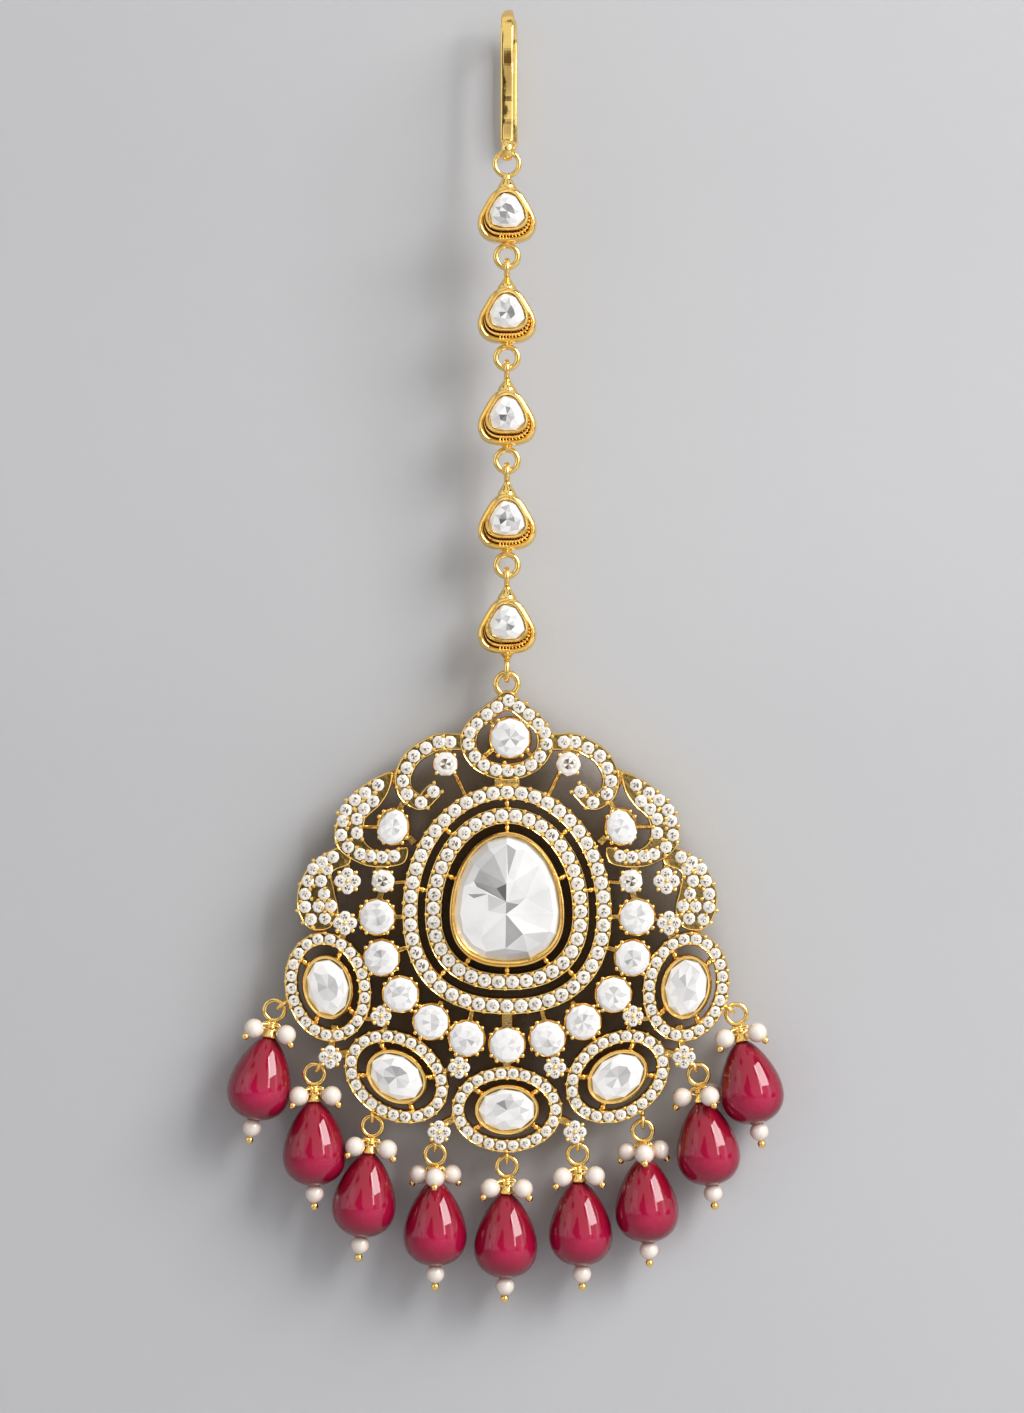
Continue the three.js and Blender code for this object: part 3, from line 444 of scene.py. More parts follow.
def surface_wear_group():
    """Cloudy variation and fine scratches at two scales, as masks, with a height for a Bump node."""
    g = bpy.data.node_groups.new("Surface Wear", "ShaderNodeTree")
    socket(g, "Vector", "Vector", "INPUT")
    socket(g, "Cloud Scale", "Float", "INPUT", 200.0)
    socket(g, "Grain Scale", "Float", "INPUT", 2500.0)
    socket(g, "Low", "Float", "INPUT", 0.1)
    socket(g, "High", "Float", "INPUT", 0.3)
    socket(g, "Value", "Float", "OUTPUT")
    socket(g, "Mask", "Float", "OUTPUT")
    socket(g, "Height", "Float", "OUTPUT")
    n, link = g.nodes, g.links.new
    inside, outside = n.new("NodeGroupInput"), n.new("NodeGroupOutput")
    cloud, grain = n.new("ShaderNodeTexNoise"), n.new("ShaderNodeTexNoise")
    cloud.inputs["Detail"].default_value = 3
    grain.inputs["Detail"].default_value = 2
    blend = n.new("ShaderNodeMath")
    blend.operation = "MULTIPLY_ADD"
    blend.inputs[1].default_value = 0.35
    spread = n.new("ShaderNodeMapRange")
    spread.inputs["From Min"].default_value = 0.45
    spread.inputs["From Max"].default_value = 0.9
    link(inside.outputs["Vector"], cloud.inputs["Vector"])
    link(inside.outputs["Vector"], grain.inputs["Vector"])
    link(inside.outputs["Cloud Scale"], cloud.inputs["Scale"])
    link(inside.outputs["Grain Scale"], grain.inputs["Scale"])
    link(grain.outputs["Fac"], blend.inputs[0])
    link(cloud.outputs["Fac"], blend.inputs[2])
    link(blend.outputs[0], spread.inputs["Value"])
    link(inside.outputs["Low"], spread.inputs["To Min"])
    link(inside.outputs["High"], spread.inputs["To Max"])
    link(spread.outputs["Result"], outside.inputs["Value"])
    link(cloud.outputs["Fac"], outside.inputs["Mask"])
    link(blend.outputs[0], outside.inputs["Height"])
    return g


def worked_metal_group():
    """Two-tone metal: the worked colour where the tone mask is 1, painted shade and painted dark reflections where it
    is 0, with soft clouds.
    """
    g = bpy.data.node_groups.new("Worked Metal", "ShaderNodeTree")
    socket(g, "Colour", "Color", "INPUT", (0.9, 0.6, 0.2, 1))
    socket(g, "Warm", "Color", "INPUT", (0.8, 0.5, 0.15, 1))
    socket(g, "Shade", "Color", "INPUT", (0.2, 0.1, 0.03, 1))
    socket(g, "Tone", "Float", "INPUT", 1.0)
    socket(g, "Cloud", "Float", "INPUT", 0.5)
    socket(g, "Color", "Color", "OUTPUT")
    n, link = g.nodes, g.links.new
    inside, outside = n.new("NodeGroupInput"), n.new("NodeGroupOutput")
    warm, deep = (n.new("ShaderNodeMix") for _ in range(2))
    warm.data_type = deep.data_type = "RGBA"
    link(inside.outputs["Cloud"], warm.inputs["Factor"])
    link(inside.outputs["Colour"], warm.inputs["A"])
    link(inside.outputs["Warm"], warm.inputs["B"])
    link(inside.outputs["Tone"], deep.inputs["Factor"])
    link(inside.outputs["Shade"], deep.inputs["A"])
    link(warm.outputs["Result"], deep.inputs["B"])
    link(deep.outputs["Result"], outside.inputs["Color"])
    return g


def new_material(name, **values):
    """A material with its Principled shader set; returns what the finishes need to wire it."""
    m = bpy.data.materials.new(name)
    m.use_nodes = True
    shader = m.node_tree.nodes["Principled BSDF"]
    for key, value in values.items():
        shader.inputs[key.replace("_", " ")].default_value = value
    place = m.node_tree.nodes.new("ShaderNodeTexCoord")
    return m, m.node_tree.nodes, m.node_tree.links.new, shader, place.outputs["Object"]


def group_node(nodes, name, **values):
    """A node that uses a shared group, with its inputs set."""
    node = nodes.new("ShaderNodeGroup")
    node.node_tree = bpy.data.node_groups[name]
    for key, value in values.items():
        node.inputs[key.replace("_", " ")].default_value = value
    return node


def mix_colour(nodes, a, b):
    """A Mix node between two plain colours."""
    mix = nodes.new("ShaderNodeMix")
    mix.data_type = "RGBA"
    mix.inputs["A"].default_value = (*a, 1)
    mix.inputs["B"].default_value = (*b, 1)
    return mix


def bump(nodes, link, height, shader, distance, strength):
    """Feeds a height to the shader's normal; the distance is in metres."""
    node = nodes.new("ShaderNodeBump")
    node.inputs["Distance"].default_value = distance
    node.inputs["Strength"].default_value = strength
    link(height, node.inputs["Height"])
    link(node.outputs["Normal"], shader.inputs["Normal"])


def gold_material(name, colour, shade, low, high, grain, wave):
    """Polished gold: warm clouds of colour, painted shade in the worked floors and painted dark reflections by tone,
    fine polishing marks.
    """
    m, nodes, link, shader, place = new_material(name, Metallic=1.0)
    tone = nodes.new("ShaderNodeAttribute")
    tone.attribute_name = "tone"
    wear = group_node(nodes, "Surface Wear", Cloud_Scale=260.0, Grain_Scale=grain, Low=low, High=high)
    warm = tuple(c * k for c, k in zip(colour, (0.97, 0.91, 0.8)))
    metal = group_node(nodes, "Worked Metal", Colour=(*colour, 1), Warm=(*warm, 1), Shade=(*shade, 1))
    link(place, wear.inputs["Vector"])
    link(wear.outputs["Mask"], metal.inputs["Cloud"])
    link(tone.outputs["Fac"], metal.inputs["Tone"])
    link(metal.outputs["Color"], shader.inputs["Base Color"])
    link(wear.outputs["Value"], shader.inputs["Roughness"])
    bump(nodes, link, wear.outputs["Height"], shader, wave, 0.5)
    return m


def crystal_material(name, bright, dark, cloud):
    """Foil-backed clear stone: each facet's tone a painted reflection, from light to dark, with a faint cloud and
    hard polish.
    """
    m, nodes, link, shader, place = new_material(
        name, Metallic=0.0, IOR=1.6, Coat_Weight=0.5, Coat_Roughness=0.02, Coat_IOR=1.6)
    tone = nodes.new("ShaderNodeAttribute")
    tone.attribute_name = "tone"
    wear = group_node(nodes, "Surface Wear", Cloud_Scale=cloud, Grain_Scale=cloud * 9, Low=0.03, High=0.09)
    shift = nodes.new("ShaderNodeMath")
    shift.operation = "MULTIPLY_ADD"
    shift.inputs[1].default_value = 0.25
    base = mix_colour(nodes, dark, bright)
    soft = nodes.new("ShaderNodeMath")
    soft.operation = "ADD"
    soft.inputs[1].default_value = -0.125
    soft.use_clamp = True
    deep = nodes.new("ShaderNodeMath")
    deep.operation = "POWER"
    deep.inputs[1].default_value = 2.2
    link(place, wear.inputs["Vector"])
    link(wear.outputs["Mask"], shift.inputs[0])
    link(tone.outputs["Fac"], shift.inputs[2])
    link(shift.outputs[0], soft.inputs[0])
    link(soft.outputs[0], deep.inputs[0])
    link(deep.outputs[0], base.inputs["Factor"])
    link(base.outputs["Result"], shader.inputs["Base Color"])
    link(wear.outputs["Value"], shader.inputs["Roughness"])
    bump(nodes, link, wear.outputs["Height"], shader, 0.00002, 0.15)
    return m


def ruby_material(colour, glow, deep):
    """Polished ruby-coloured drop: a painted warmer glow low in the drop, silky clouds inside, painted shade towards
    its edges.
    """
    m, nodes, link, shader, place = new_material(
        "ruby polish", IOR=1.55, Coat_Weight=0.35, Coat_Roughness=0.02, Subsurface_Weight=0.06,
        Subsurface_Radius=(0.003, 0.0004, 0.0007), Subsurface_Scale=0.5)
    shader.inputs["Specular IOR Level"].default_value = 0.32
    silk = group_node(nodes, "Surface Wear", Cloud_Scale=330.0, Grain_Scale=1600.0, Low=0.02, High=0.07)
    low = nodes.new("ShaderNodeAttribute")
    low.attribute_name = "tone"
    inside = nodes.new("ShaderNodeMath")
    inside.operation = "MULTIPLY"
    edge = nodes.new("ShaderNodeLayerWeight")
    edge.inputs["Blend"].default_value = 0.48
    # Body: painted glow by the drop's tone; rim: painted shade towards the edges.
    body, rim = mix_colour(nodes, colour, glow), mix_colour(nodes, colour, deep)
    link(place, silk.inputs["Vector"])
    link(silk.outputs["Mask"], inside.inputs[0])
    link(low.outputs["Fac"], inside.inputs[1])
    link(inside.outputs[0], body.inputs["Factor"])
    link(body.outputs["Result"], rim.inputs["A"])
    link(edge.outputs["Facing"], rim.inputs["Factor"])
    link(rim.outputs["Result"], shader.inputs["Base Color"])
    link(silk.outputs["Value"], shader.inputs["Roughness"])
    bump(nodes, link, silk.outputs["Height"], shader, 0.00003, 0.1)
    return m


def pearl_material(colour, edge_shade):
    """Pearl: cream body with a painted pinkish shade towards its edges, soft lustre under a thin coat, faint growth
    ripples.
    """
    m, nodes, link, shader, place = new_material(
        "pearl lustre", IOR=1.55, Coat_Weight=0.8, Coat_Roughness=0.08, Subsurface_Weight=0.15,
        Subsurface_Radius=(0.001, 0.0007, 0.0005), Subsurface_Scale=0.5)
    ripple = group_node(nodes, "Surface Wear", Cloud_Scale=700.0, Grain_Scale=4000.0, Low=0.1, High=0.2)
    edge = nodes.new("ShaderNodeLayerWeight")
    edge.inputs["Blend"].default_value = 0.4
    shaded_edge = mix_colour(nodes, colour, edge_shade)
    cloud = mix_colour(nodes, colour, tuple(c * k for c, k in zip(colour, (0.98, 0.94, 0.9))))
    link(place, ripple.inputs["Vector"])
    link(ripple.outputs["Mask"], cloud.inputs["Factor"])
    link(cloud.outputs["Result"], shaded_edge.inputs["A"])
    link(edge.outputs["Facing"], shaded_edge.inputs["Factor"])
    link(shaded_edge.outputs["Result"], shader.inputs["Base Color"])
    link(ripple.outputs["Value"], shader.inputs["Roughness"])
    bump(nodes, link, ripple.outputs["Height"], shader, 0.00003, 0.15)
    return m


def backdrop_material(colour, shadow):
    """Pale grey paper with painted shade, browner close under the pendant's gold within 25 mm of its middle, and
    clear from behind so that the back can be seen."""
    m, nodes, link, shader, place = new_material("studio paper", Roughness=0.9)
    grain = group_node(nodes, "Surface Wear", Cloud_Scale=14.0, Grain_Scale=900.0, Low=0.8, High=0.95)
    tint = mix_colour(nodes, colour, tuple(c * 0.96 for c in colour))
    near, close = nodes.new("ShaderNodeAmbientOcclusion"), nodes.new("ShaderNodeMapRange")
    near.inputs["Distance"].default_value = 0.006
    near.samples = 8
    close.inputs["From Min"].default_value = 0.32
    close.inputs["From Max"].default_value = 0.58
    level, apart = nodes.new("ShaderNodeVectorMath"), nodes.new("ShaderNodeVectorMath")
    outside, most = nodes.new("ShaderNodeMapRange"), nodes.new("ShaderNodeMath")
    level.operation, apart.operation, most.operation = "MULTIPLY", "DISTANCE", "MAXIMUM"
    level.inputs[1].default_value = (1, 0, 1)
    apart.inputs[1].default_value = (0, 0, -0.0895)
    outside.inputs["From Min"].default_value = 0.019
    outside.inputs["From Max"].default_value = 0.025
    # Painted shade: the paper turns to the shadow colour where ambient occlusion finds the gold close by.
    under = mix_colour(nodes, shadow, colour)
    behind = nodes.new("ShaderNodeNewGeometry")
    clear, mix = nodes.new("ShaderNodeBsdfTransparent"), nodes.new("ShaderNodeMixShader")
    link(place, grain.inputs["Vector"])
    link(grain.outputs["Mask"], tint.inputs["Factor"])
    link(near.outputs["AO"], close.inputs["Value"])
    link(place, level.inputs[0])
    link(level.outputs["Vector"], apart.inputs[0])
    link(apart.outputs["Value"], outside.inputs["Value"])
    link(close.outputs["Result"], most.inputs[0])
    link(outside.outputs["Result"], most.inputs[1])
    link(most.outputs[0], under.inputs["Factor"])
    link(tint.outputs["Result"], under.inputs["B"])
    link(under.outputs["Result"], shader.inputs["Base Color"])
    link(grain.outputs["Value"], shader.inputs["Roughness"])
    link(behind.outputs["Backfacing"], mix.inputs["Fac"])
    link(shader.outputs[0], mix.inputs[1])
    link(clear.outputs[0], mix.inputs[2])
    link(mix.outputs[0], nodes["Material Output"].inputs["Surface"])
    return m


def build_materials():
    """All the finishes, from the colours in the panel."""
    if "gold openwork" in bpy.data.materials:
        return
    c = bpy.context.scene.tikka_colours
    surface_wear_group()
    worked_metal_group()
    gold, shade = tuple(c.gold), tuple(c.gold_shade)
    gold_material("gold openwork", gold, shade, 0.09, 0.2, 2600.0, 0.00009)
    gold_material("gold polished", gold, shade, 0.05, 0.13, 900.0, 0.0002)
    white, grey = tuple(c.crystal), tuple(c.crystal_shade)
    crystal_material("crystal large", white, grey, 260.0)
    crystal_material("crystal small", tuple(c.crystal_small), tuple(c.small_shade), 1100.0)
    ruby_material(tuple(c.ruby), tuple(c.ruby_glow), tuple(c.ruby_edge_shade))
    pearl_material(tuple(c.pearl), tuple(c.pearl_edge_shade))
    backdrop_material(tuple(c.backdrop), tuple(c.backdrop_shade))


# ------------------------------------------------------------------ objects
def put(name, shell, at, body, material, nodes=(), angle=38.0):
    """Makes the object: millimetres to metres, outward normals, smooth up to the given angle, placed on its body."""
    mesh = bpy.data.meshes.new(name)
    points = (shell.points + np.array(at)) * MM
    faces = [tuple(row) for f in shell.faces for row in f.tolist()]
    mesh.from_pydata(points.tolist(), [], faces)
    tone = mesh.attributes.new("tone", "FLOAT", "FACE")
    tone.data.foreach_set("value", np.concatenate(shell.tones).astype(np.float32))
    work = bmesh.new()
    work.from_mesh(mesh)
    bmesh.ops.recalc_face_normals(work, faces=work.faces)
    work.to_mesh(mesh)
    work.free()
    if angle:
        mesh.polygons.foreach_set("use_smooth", np.ones(len(mesh.polygons), bool))
        mesh.set_sharp_from_angle(angle=math.radians(angle))
    mesh.update()
    mesh.materials.append(bpy.data.materials[material])
    obj = bpy.data.objects.new(name, mesh)
    bpy.context.scene.collection.objects.link(obj)
    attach(obj, body)
    if nodes:
        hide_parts(*nodes)
    return obj


def hook_shape():
    """A flat strip carried from the eye up the front leg, over the top and down the back leg, with a section
    (thick/2 |cos v|^0.45, width/2 |sin v|^0.35) at each point of its path and painted dark reflection bands on the
    front leg."""
    bend, thick, width = 2.75, 0.75, 1.3
    a = math.pi * (1 - np.arange(11) / 10)
    arch = np.stack([bend * np.cos(a), thick / 2 - bend + (bend + 0.3) * np.sin(a)], 1)
    front, back = [(-bend, -13.2), (-bend, -9), (-bend, -6)], [(bend, -6), (bend, -9.5), (bend + 0.5, -12.6)]
    line = np.vstack([front, arch, back])
    path = evened(spline(line, 400), 120, closed=False)
    t = np.gradient(path, axis=0)
    t /= np.linalg.norm(t, axis=1)[:, None]
    n = np.stack([-t[:, 1], t[:, 0]], 1)
    v = np.linspace(0, TAU, 48, endpoint=False)
    p, q = np.cos(v), np.sin(v)
    su = thick / 2 * np.sign(p) * np.abs(p) ** 0.45
    sv = width / 2 * np.sign(q) * np.abs(q) ** 0.35
    taper = np.ones(120)
    taper[:4] = [0.62, 0.86, 0.96, 1]
    taper[-4:] = [1, 0.96, 0.86, 0.6]
    below = np.clip(1 - (thick / 2 - path[:, 1]) / 0.45, 0, 1)
    y = path[:, :1] + n[:, :1] * su * taper[:, None]
    z = path[:, 1:] + n[:, 1:] * su * taper[:, None]
    s = np.arange(120) / 119
    lean = 0.05 * np.sin(21 * s + 1.0) + 0.03 * np.sin(47 * s)
    y = y + sv * np.where(path[:, :1] < 0, lean[:, None], 0)
    x = sv * (taper - 0.32 * below ** 2)[:, None] + 0.4 * (path[:, :1] + bend) / (2 * bend)
    strip = loft(np.stack([x, y, z], -1))
    side, high = (x + np.roll(x, -1, 1))[:-1] / 2, np.broadcast_to(z.mean(1)[:-1, None], (119, 48))
    dark_reflection = 0
    for place, wide, middle, tall, depth in HOOK_PAINTED_REFLECTIONS:
        dark_reflection = dark_reflection + depth * np.exp(-((side - place) / wide) ** 4 - ((high - middle) / tall) ** 4)
    # The front leg's faces take the painted dark reflection bands through their tone.
    strip.tones[0] = (1 - 0.95 * np.clip(dark_reflection, 0, 1) * (path[:-1, :1] < 0)).ravel()
    eye = torus(0.85, WIRE, "x")
    eye.points[:, 0] *= 1.85
    return merged([strip, eye.moved(y=-bend, z=-14.3 + 0.85)])


SHOULDER = [(0, 0.3), (0, -0.5), (0.14, -0.84), (0.35, -1.0), (0.62, -1.0), (0.82, -0.86), (1.0, -0.5), (1.0, 0.3)]


def link_shape(number):
    """One link: triangle body with a round rim, a shoulder and ridges inside it, the wall round its stone, its loop
    above and its ring below."""
    body, ring = LINKS[number]
    base = [(0.3, BACK), (0.1, 0.84), (0, 0.66), (0, -0.5), (0.06, -0.8), (0.19, -1.0), (0.34, -1.06), (0.49, -1.0),
            (0.6, -0.82), (0.64, -0.6)]
    rings = [lay(trefoil(LINK_SIZE - w, 0, body, 96), y) for w, y in base]
    seat = body + LINK_LIFT
    wall = [(0, -0.3), (0, -1.2), (0.03, -1.4), (0.1, -1.5), (0.2, -1.5), (0.29, -1.38), (0.34, -1.2), (0.36, -1.05),
            (0.36, -0.3)]
    reach = LINK_STONE + 0.36
    inner = [lay(trefoil(reach - w, 0, seat, 96), y) for w, y in wall]
    floor = [lay(trefoil(reach - 0.1, 0, seat, 48), y) for y in (0.6, -0.8)]
    shells = [loft(rings), loft(inner, "wrap"), loft(floor)]
    # Painted shade: the body's front floor gets a low tone.
    shells[0].tones[-1][:] = 0.25
    edge, foot_of_wall = trefoil(LINK_SIZE - 0.62, 0, body, 96), trefoil(reach, 0, seat, 96)
    shoulder = across(edge, foot_of_wall, SHOULDER)
    # Painted shade in the shoulder's grooves: three of its rows get a low tone.
    shoulder.tones[0].reshape(len(SHOULDER), -1)[[0, 1, 5]] = 0.15
    shells.append(shoulder)
    around = np.radians(np.arange(-110, 25, 9.0))
    mid = (LINK_SIZE - 0.86) * (1 + 0.1 * np.cos(3 * (around - math.pi / 2)))
    ridges = np.stack([mid * np.cos(around), np.full(len(around), -0.93), body + mid * np.sin(around)], 1)
    foot_line = ellipse(0, 0, 0.3, 0.12, 0, 8)
    ridge = loft(np.stack([lay(foot_line * k, y) for k, y in ((1, 0.2), (1, -0.08), (0.5, -0.2))]))
    shells.append(repeated(ridge, ridges, np.degrees(around)))
    head, foot = body + LINK_SIZE * 1.1 - 0.25, body - LINK_SIZE * 0.9 + 0.25
    if number == 0:
        z, radius, wire = FIRST_RING
        shells += [torus(radius, wire).moved(z=z), neck(head, z - radius, 0.95, 0.42)]
    else:
        top = LINKS[number - 1][1] - RING + WIRE + 0.1
        shells += [torus(LOOP, WIRE, "x").moved(z=top - LOOP), neck(head, top - 2 * LOOP, 0.95, 0.3)]
    if ring is None:
        reach = LOOP + STRETCH
        shells += [torus(LOOP, WIRE, "x", stretch=STRETCH).moved(z=PIVOT_Z + reach),
                   neck(foot, PIVOT_Z + 2 * reach, 0.8, 0.3)]
    else:
        shells += [torus(RING, WIRE).moved(z=ring), neck(foot, ring + RING, 0.75, 0.3)]
    return merged(shells)


def neck(body_end, loop_end, wide, narrow):
    """A short turned neck whose radius narrows towards the loop as a cosine."""
    t = np.linspace(0, 1, 9)
    r = narrow + (wide - narrow) * (1 + np.cos(math.pi * t)) / 2
    return turned_body(np.stack([r, body_end + (loop_end - body_end) * t], 1), 20)


def link_stones_shape():
    """The links' stones: nine-sided crowns on the links' own rounded triangle."""
    stones = []
    for number, (body, _) in enumerate(LINKS):
        seat = body + LINK_LIFT
        outline_of = lambda count, z=seat: trefoil(LINK_STONE, 0, z, count)
        rows = [(0.95, -0.95), (1.0, -1.25), (0.8, -1.5), (0.45, -1.64)]
        stones.append(cut_stone(outline_of, 9, (0, seat), rows, -0.75, [.98, 1.0, .93, .75], 40 + number))
    return merged(stones)


def openwork_shape():
    """The pierced gold of the pendant: halos, crest, scrolls, crescents, lobes, medallions, cups, bars and eyes."""
    e = {k: egg(v, 160) for k, v in EGGS.items()}
    shells = [
        across(e["outer_edge"], e["outer_hole"], band_section(1.7), FLOOR_TONE),
        across(e["inner_edge"], e["inner_hole"], band_section(1.83), FLOOR_TONE),
    ]
    crest = [evened(spline(symmetric(h), 600, True), 128) for h in (CREST_EDGE, CREST_HOLE)]
    shells.append(across(*crest, band_section(1.9), FLOOR_TONE))
    for points in (CRESCENT, LOBE):
        outline = evened(spline(points, 500, True), 110)
        shells += [plate(way, RAIL, FLOOR_TONE) for way in (outline, mirror_outline(outline))]
    shells += [scroll_band(), scroll_band().flipped()]
    for x, z, lean in OVALS:
        edge, hole, wall = (ellipse(x, z, *OVAL[k], lean, 72) for k in ("edge", "hole", "wall"))
        stone = ellipse(x, z, OVAL["stone"][0] + 0.02, OVAL["stone"][1] + 0.02, lean, 72)
        shells.append(across(edge, hole, band_section(1.4), FLOOR_TONE))
        shells.append(across(wall, stone, WALL_SECTION))
        shells.append(plate(ellipse(x, z, OVAL["wall"][0] - 0.1, OVAL["wall"][1] - 0.1, lean, 48),
                            [(0.2, 0.7), (0, 0.55), (0, -0.7)]))
        shells += [gap_bar(wall, hole, a) for a in OVAL_GAP_BARS]
    shells.append(across(e["bezel"], egg((5.28, 6.33, -6.13, -1.5), 160), BIG_WALL_SECTION))
    shells.append(plate(egg((5.7, 6.7, -6.75, -1.5), 96), [(0.3, 1.5), (0.08, 1.42), (0, 1.2), (0, -1.0)]))
    shells += [gap_bar(e["inner_edge"], e["outer_hole"], a) for a in OUTER_GAP_BARS]
    shells += [gap_bar(e["bezel"], e["inner_hole"], a) for a in INNER_GAP_BARS]
    for a, b, w in SIDE_BARS:
        shells += [bar(a, b, w), bar(a, b, w).flipped()]
    shells += [bar(*row) for row in MIDDLE_BARS]
    shells.append(torus(RING, WIRE).moved(z=21.5))
    shells.append(turned_body([(0.45, 20.5), (0.8, 20.1), (1.1, 19.6)], 20))
    for x, z, swing, _, _, stem in DROPS:
        a = math.radians(swing)
        ex, ez = x + math.sin(a) * JUMP_RING, z + math.cos(a) * JUMP_RING
        eye = torus(EYE, EYE_WIRE, "x", 28, 10).turned(-swing).moved(ex, 0, ez)
        far = (x + math.sin(a) * (JUMP_RING + EYE), z + math.cos(a) * (JUMP_RING + EYE))
        path = np.linspace((far[0], 0, far[1]), (stem[0], 0, stem[1]), 5)
        shells += [eye, tube(path, np.linspace(0.24, 0.34, 5), 10)]
    return merged(shells)


WALL_SECTION = [(0, 0.4), (0, -1.1), (0.06, -1.42), (0.3, -1.6), (0.6, -1.58), (0.9, -1.42), (1.05, -1.3),
                (1.0, -0.8), (1.0, 0.4)]
BIG_WALL_SECTION = [(0, 1.3), (0, -1.35), (0.05, -1.7), (0.2, -1.95), (0.42, -1.98), (0.5, -1.9), (0.58, -2.1),
                    (0.72, -2.2), (0.88, -2.16), (1.05, -1.95), (1.0, -1.0), (1.0, 1.3)]


def mirror_outline(outline):
    """An outline mirrored left to right that still runs anticlockwise."""
    return (outline * np.array([-1, 1]))[::-1]


def scroll_band():
    """The scroll: the stone-set section carried along its centre line, narrowed where the line curls tightly,
    with a rounded far end."""
    line = evened(spline(SCROLL, 400), 80, closed=False)
    t = np.gradient(line, axis=0)
    t /= np.linalg.norm(t, axis=1)[:, None]
    n = np.stack([-t[:, 1], t[:, 0]], 1)
    step = np.linalg.norm(np.gradient(line, axis=0), axis=1)
    bend = np.gradient(np.unwrap(np.arctan2(t[:, 1], t[:, 0]))) / step
    left = np.minimum(SCROLL_HALF, 0.92 / np.maximum(bend, 1e-3))
    right = np.minimum(SCROLL_HALF, 0.92 / np.maximum(-bend, 1e-3))
    for side in (left, right):
        side[:] = np.convolve(np.pad(side, 3, "edge"), np.ones(7) / 7, "valid")
    a = np.linspace(0, math.pi / 2, 9)[1:-1, None]
    ends = [line[-1] + s * n[-1] * SCROLL_HALF * np.cos(a) + t[-1] * SCROLL_HALF * 0.85 * np.sin(a) for s in (1, -1)]
    one = np.vstack([line + n * left[:, None], ends[0]])
    two = np.vstack([line - n * right[:, None], ends[1]])
    section = band_section(1.8)
    rings = np.stack([lay(one * (1 - v) + two * v, y) for v, y in section], 1)
    shell = loft(rings)
    # The floor's tone is painted shade between the stones.
    shell.tones[0].reshape(-1, len(section))[:, FLOOR_ROWS.start + 1:FLOOR_ROWS.stop] = FLOOR_TONE
    return shell


def gap_bar(inner, outer, degrees):
    """A little bar across the gap between two outlines that share their angle parameter, with a bead on it."""
    i = int(round(degrees / 360 * len(inner))) % len(inner)
    j = int(round(degrees / 360 * len(outer))) % len(outer)
    a, b = inner[i], outer[j]
    d = (b - a) / np.linalg.norm(b - a) * 0.25
    mid = (a + b) / 2
    return merged([bar(a - d, b + d, 0.5), ball(0.3, 12, 8).moved(mid[0], -0.72, mid[1])])


def along(outline, count, start=0.0):
    """Evenly spaced places along a closed outline, with the direction of the line at each, in degrees."""
    fine = evened(outline, count * 20)
    first = int(start * 20) % 20
    places = fine[first::20]
    t = np.roll(fine, -1, 0)[first::20] - places
    return places, np.degrees(np.arctan2(t[:, 1], t[:, 0]))


def set_rows():
    """Every small set stone of the bands: its place, radius and the direction of its row."""
    rows = []
    mids = [(egg(EGGS["outer_edge"], 720) + egg(EGGS["outer_hole"], 720)) / 2,
            (egg(EGGS["inner_edge"], 720) + egg(EGGS["inner_hole"], 720)) / 2]
    for mid, count, radius in zip(mids, (46, 36), (0.69, 0.69)):
        places, way = along(mid, count)
        rows.append((places, np.full(count, radius), way))
    for x, z, lean in OVALS:
        mid = ellipse(x, z, 4.88, 3.62, lean, 720)
        places, way = along(mid, OVAL_COUNT)
        rows.append((places, np.full(OVAL_COUNT, 0.57), way))
    rows.append((np.array(CREST_SET), np.full(len(CREST_SET), 0.64), row_ways(CREST_SET)))
    for table, radius in ((SCROLL_SET, 0.66), (CRESCENT_SET, 0.64), (LOBE_SET, 0.63)):
        for side in (1, -1):
            places = np.array(table) * np.array([side, 1])
            rows.append((places, np.full(len(places), radius), row_ways(places)))
    return rows


def row_ways(places):
    """Direction of a row at each of its places, in degrees."""
    t = np.gradient(np.asarray(places, float), axis=0)
    return np.degrees(np.arctan2(t[:, 1], t[:, 0]))


def small_brilliant(seed):
    """An eight-sided brilliant of unit radius: girdle, crown and table rings, with darker painted reflections in the
    table's facets.
    """
    outline_of = lambda count: ellipse(0, 0, 1, 1, 0, count)
    rows = [(0.97, 0.1), (1.0, -0.14), (0.74, -0.27), (0.46, -0.31)]
    return cut_stone(outline_of, 8, (0, 0), rows, 0.5, [.6, 1.0, .95, .66], seed)


def set_stones_shape():
    """All small stones of the bands, in eight cuts that differ in the painted reflection tones of their facets."""
    rng = np.random.default_rng(7)
    shells = []
    cuts = [small_brilliant(100 + k) for k in range(8)]
    for places, radii, _ in set_rows():
        kind = rng.integers(0, len(cuts), len(places))
        spin = rng.uniform(0, 45, len(places))
        for k in np.unique(kind):
            pick = kind == k
            at = np.stack([places[pick, 0], np.full(pick.sum(), SET_Y), places[pick, 1]], 1)
            shells.append(repeated(cuts[k], at, spin[pick], radii[pick]))
    return merged(shells)


def set_grains_shape():
    """The gold beads that hold the small stones: two in each gap between neighbours along a row."""
    shells = []
    bead = ball(1.0, 7, 5)
    for places, radii, ways in set_rows():
        a = np.radians(ways)
        along_row = np.stack([np.cos(a), np.sin(a)], 1)
        aside = np.stack([-np.sin(a), np.cos(a)], 1)
        for side in (1, -1):
            spots = places + along_row * radii[:, None] + side * aside * radii[:, None] * BEAD_ASIDE
            at = np.stack([spots[:, 0], np.full(len(spots), BEAD_Y), spots[:, 1]], 1)
            shells.append(repeated(bead, at, None, radii * BEAD_SHARE))
    return merged(shells)


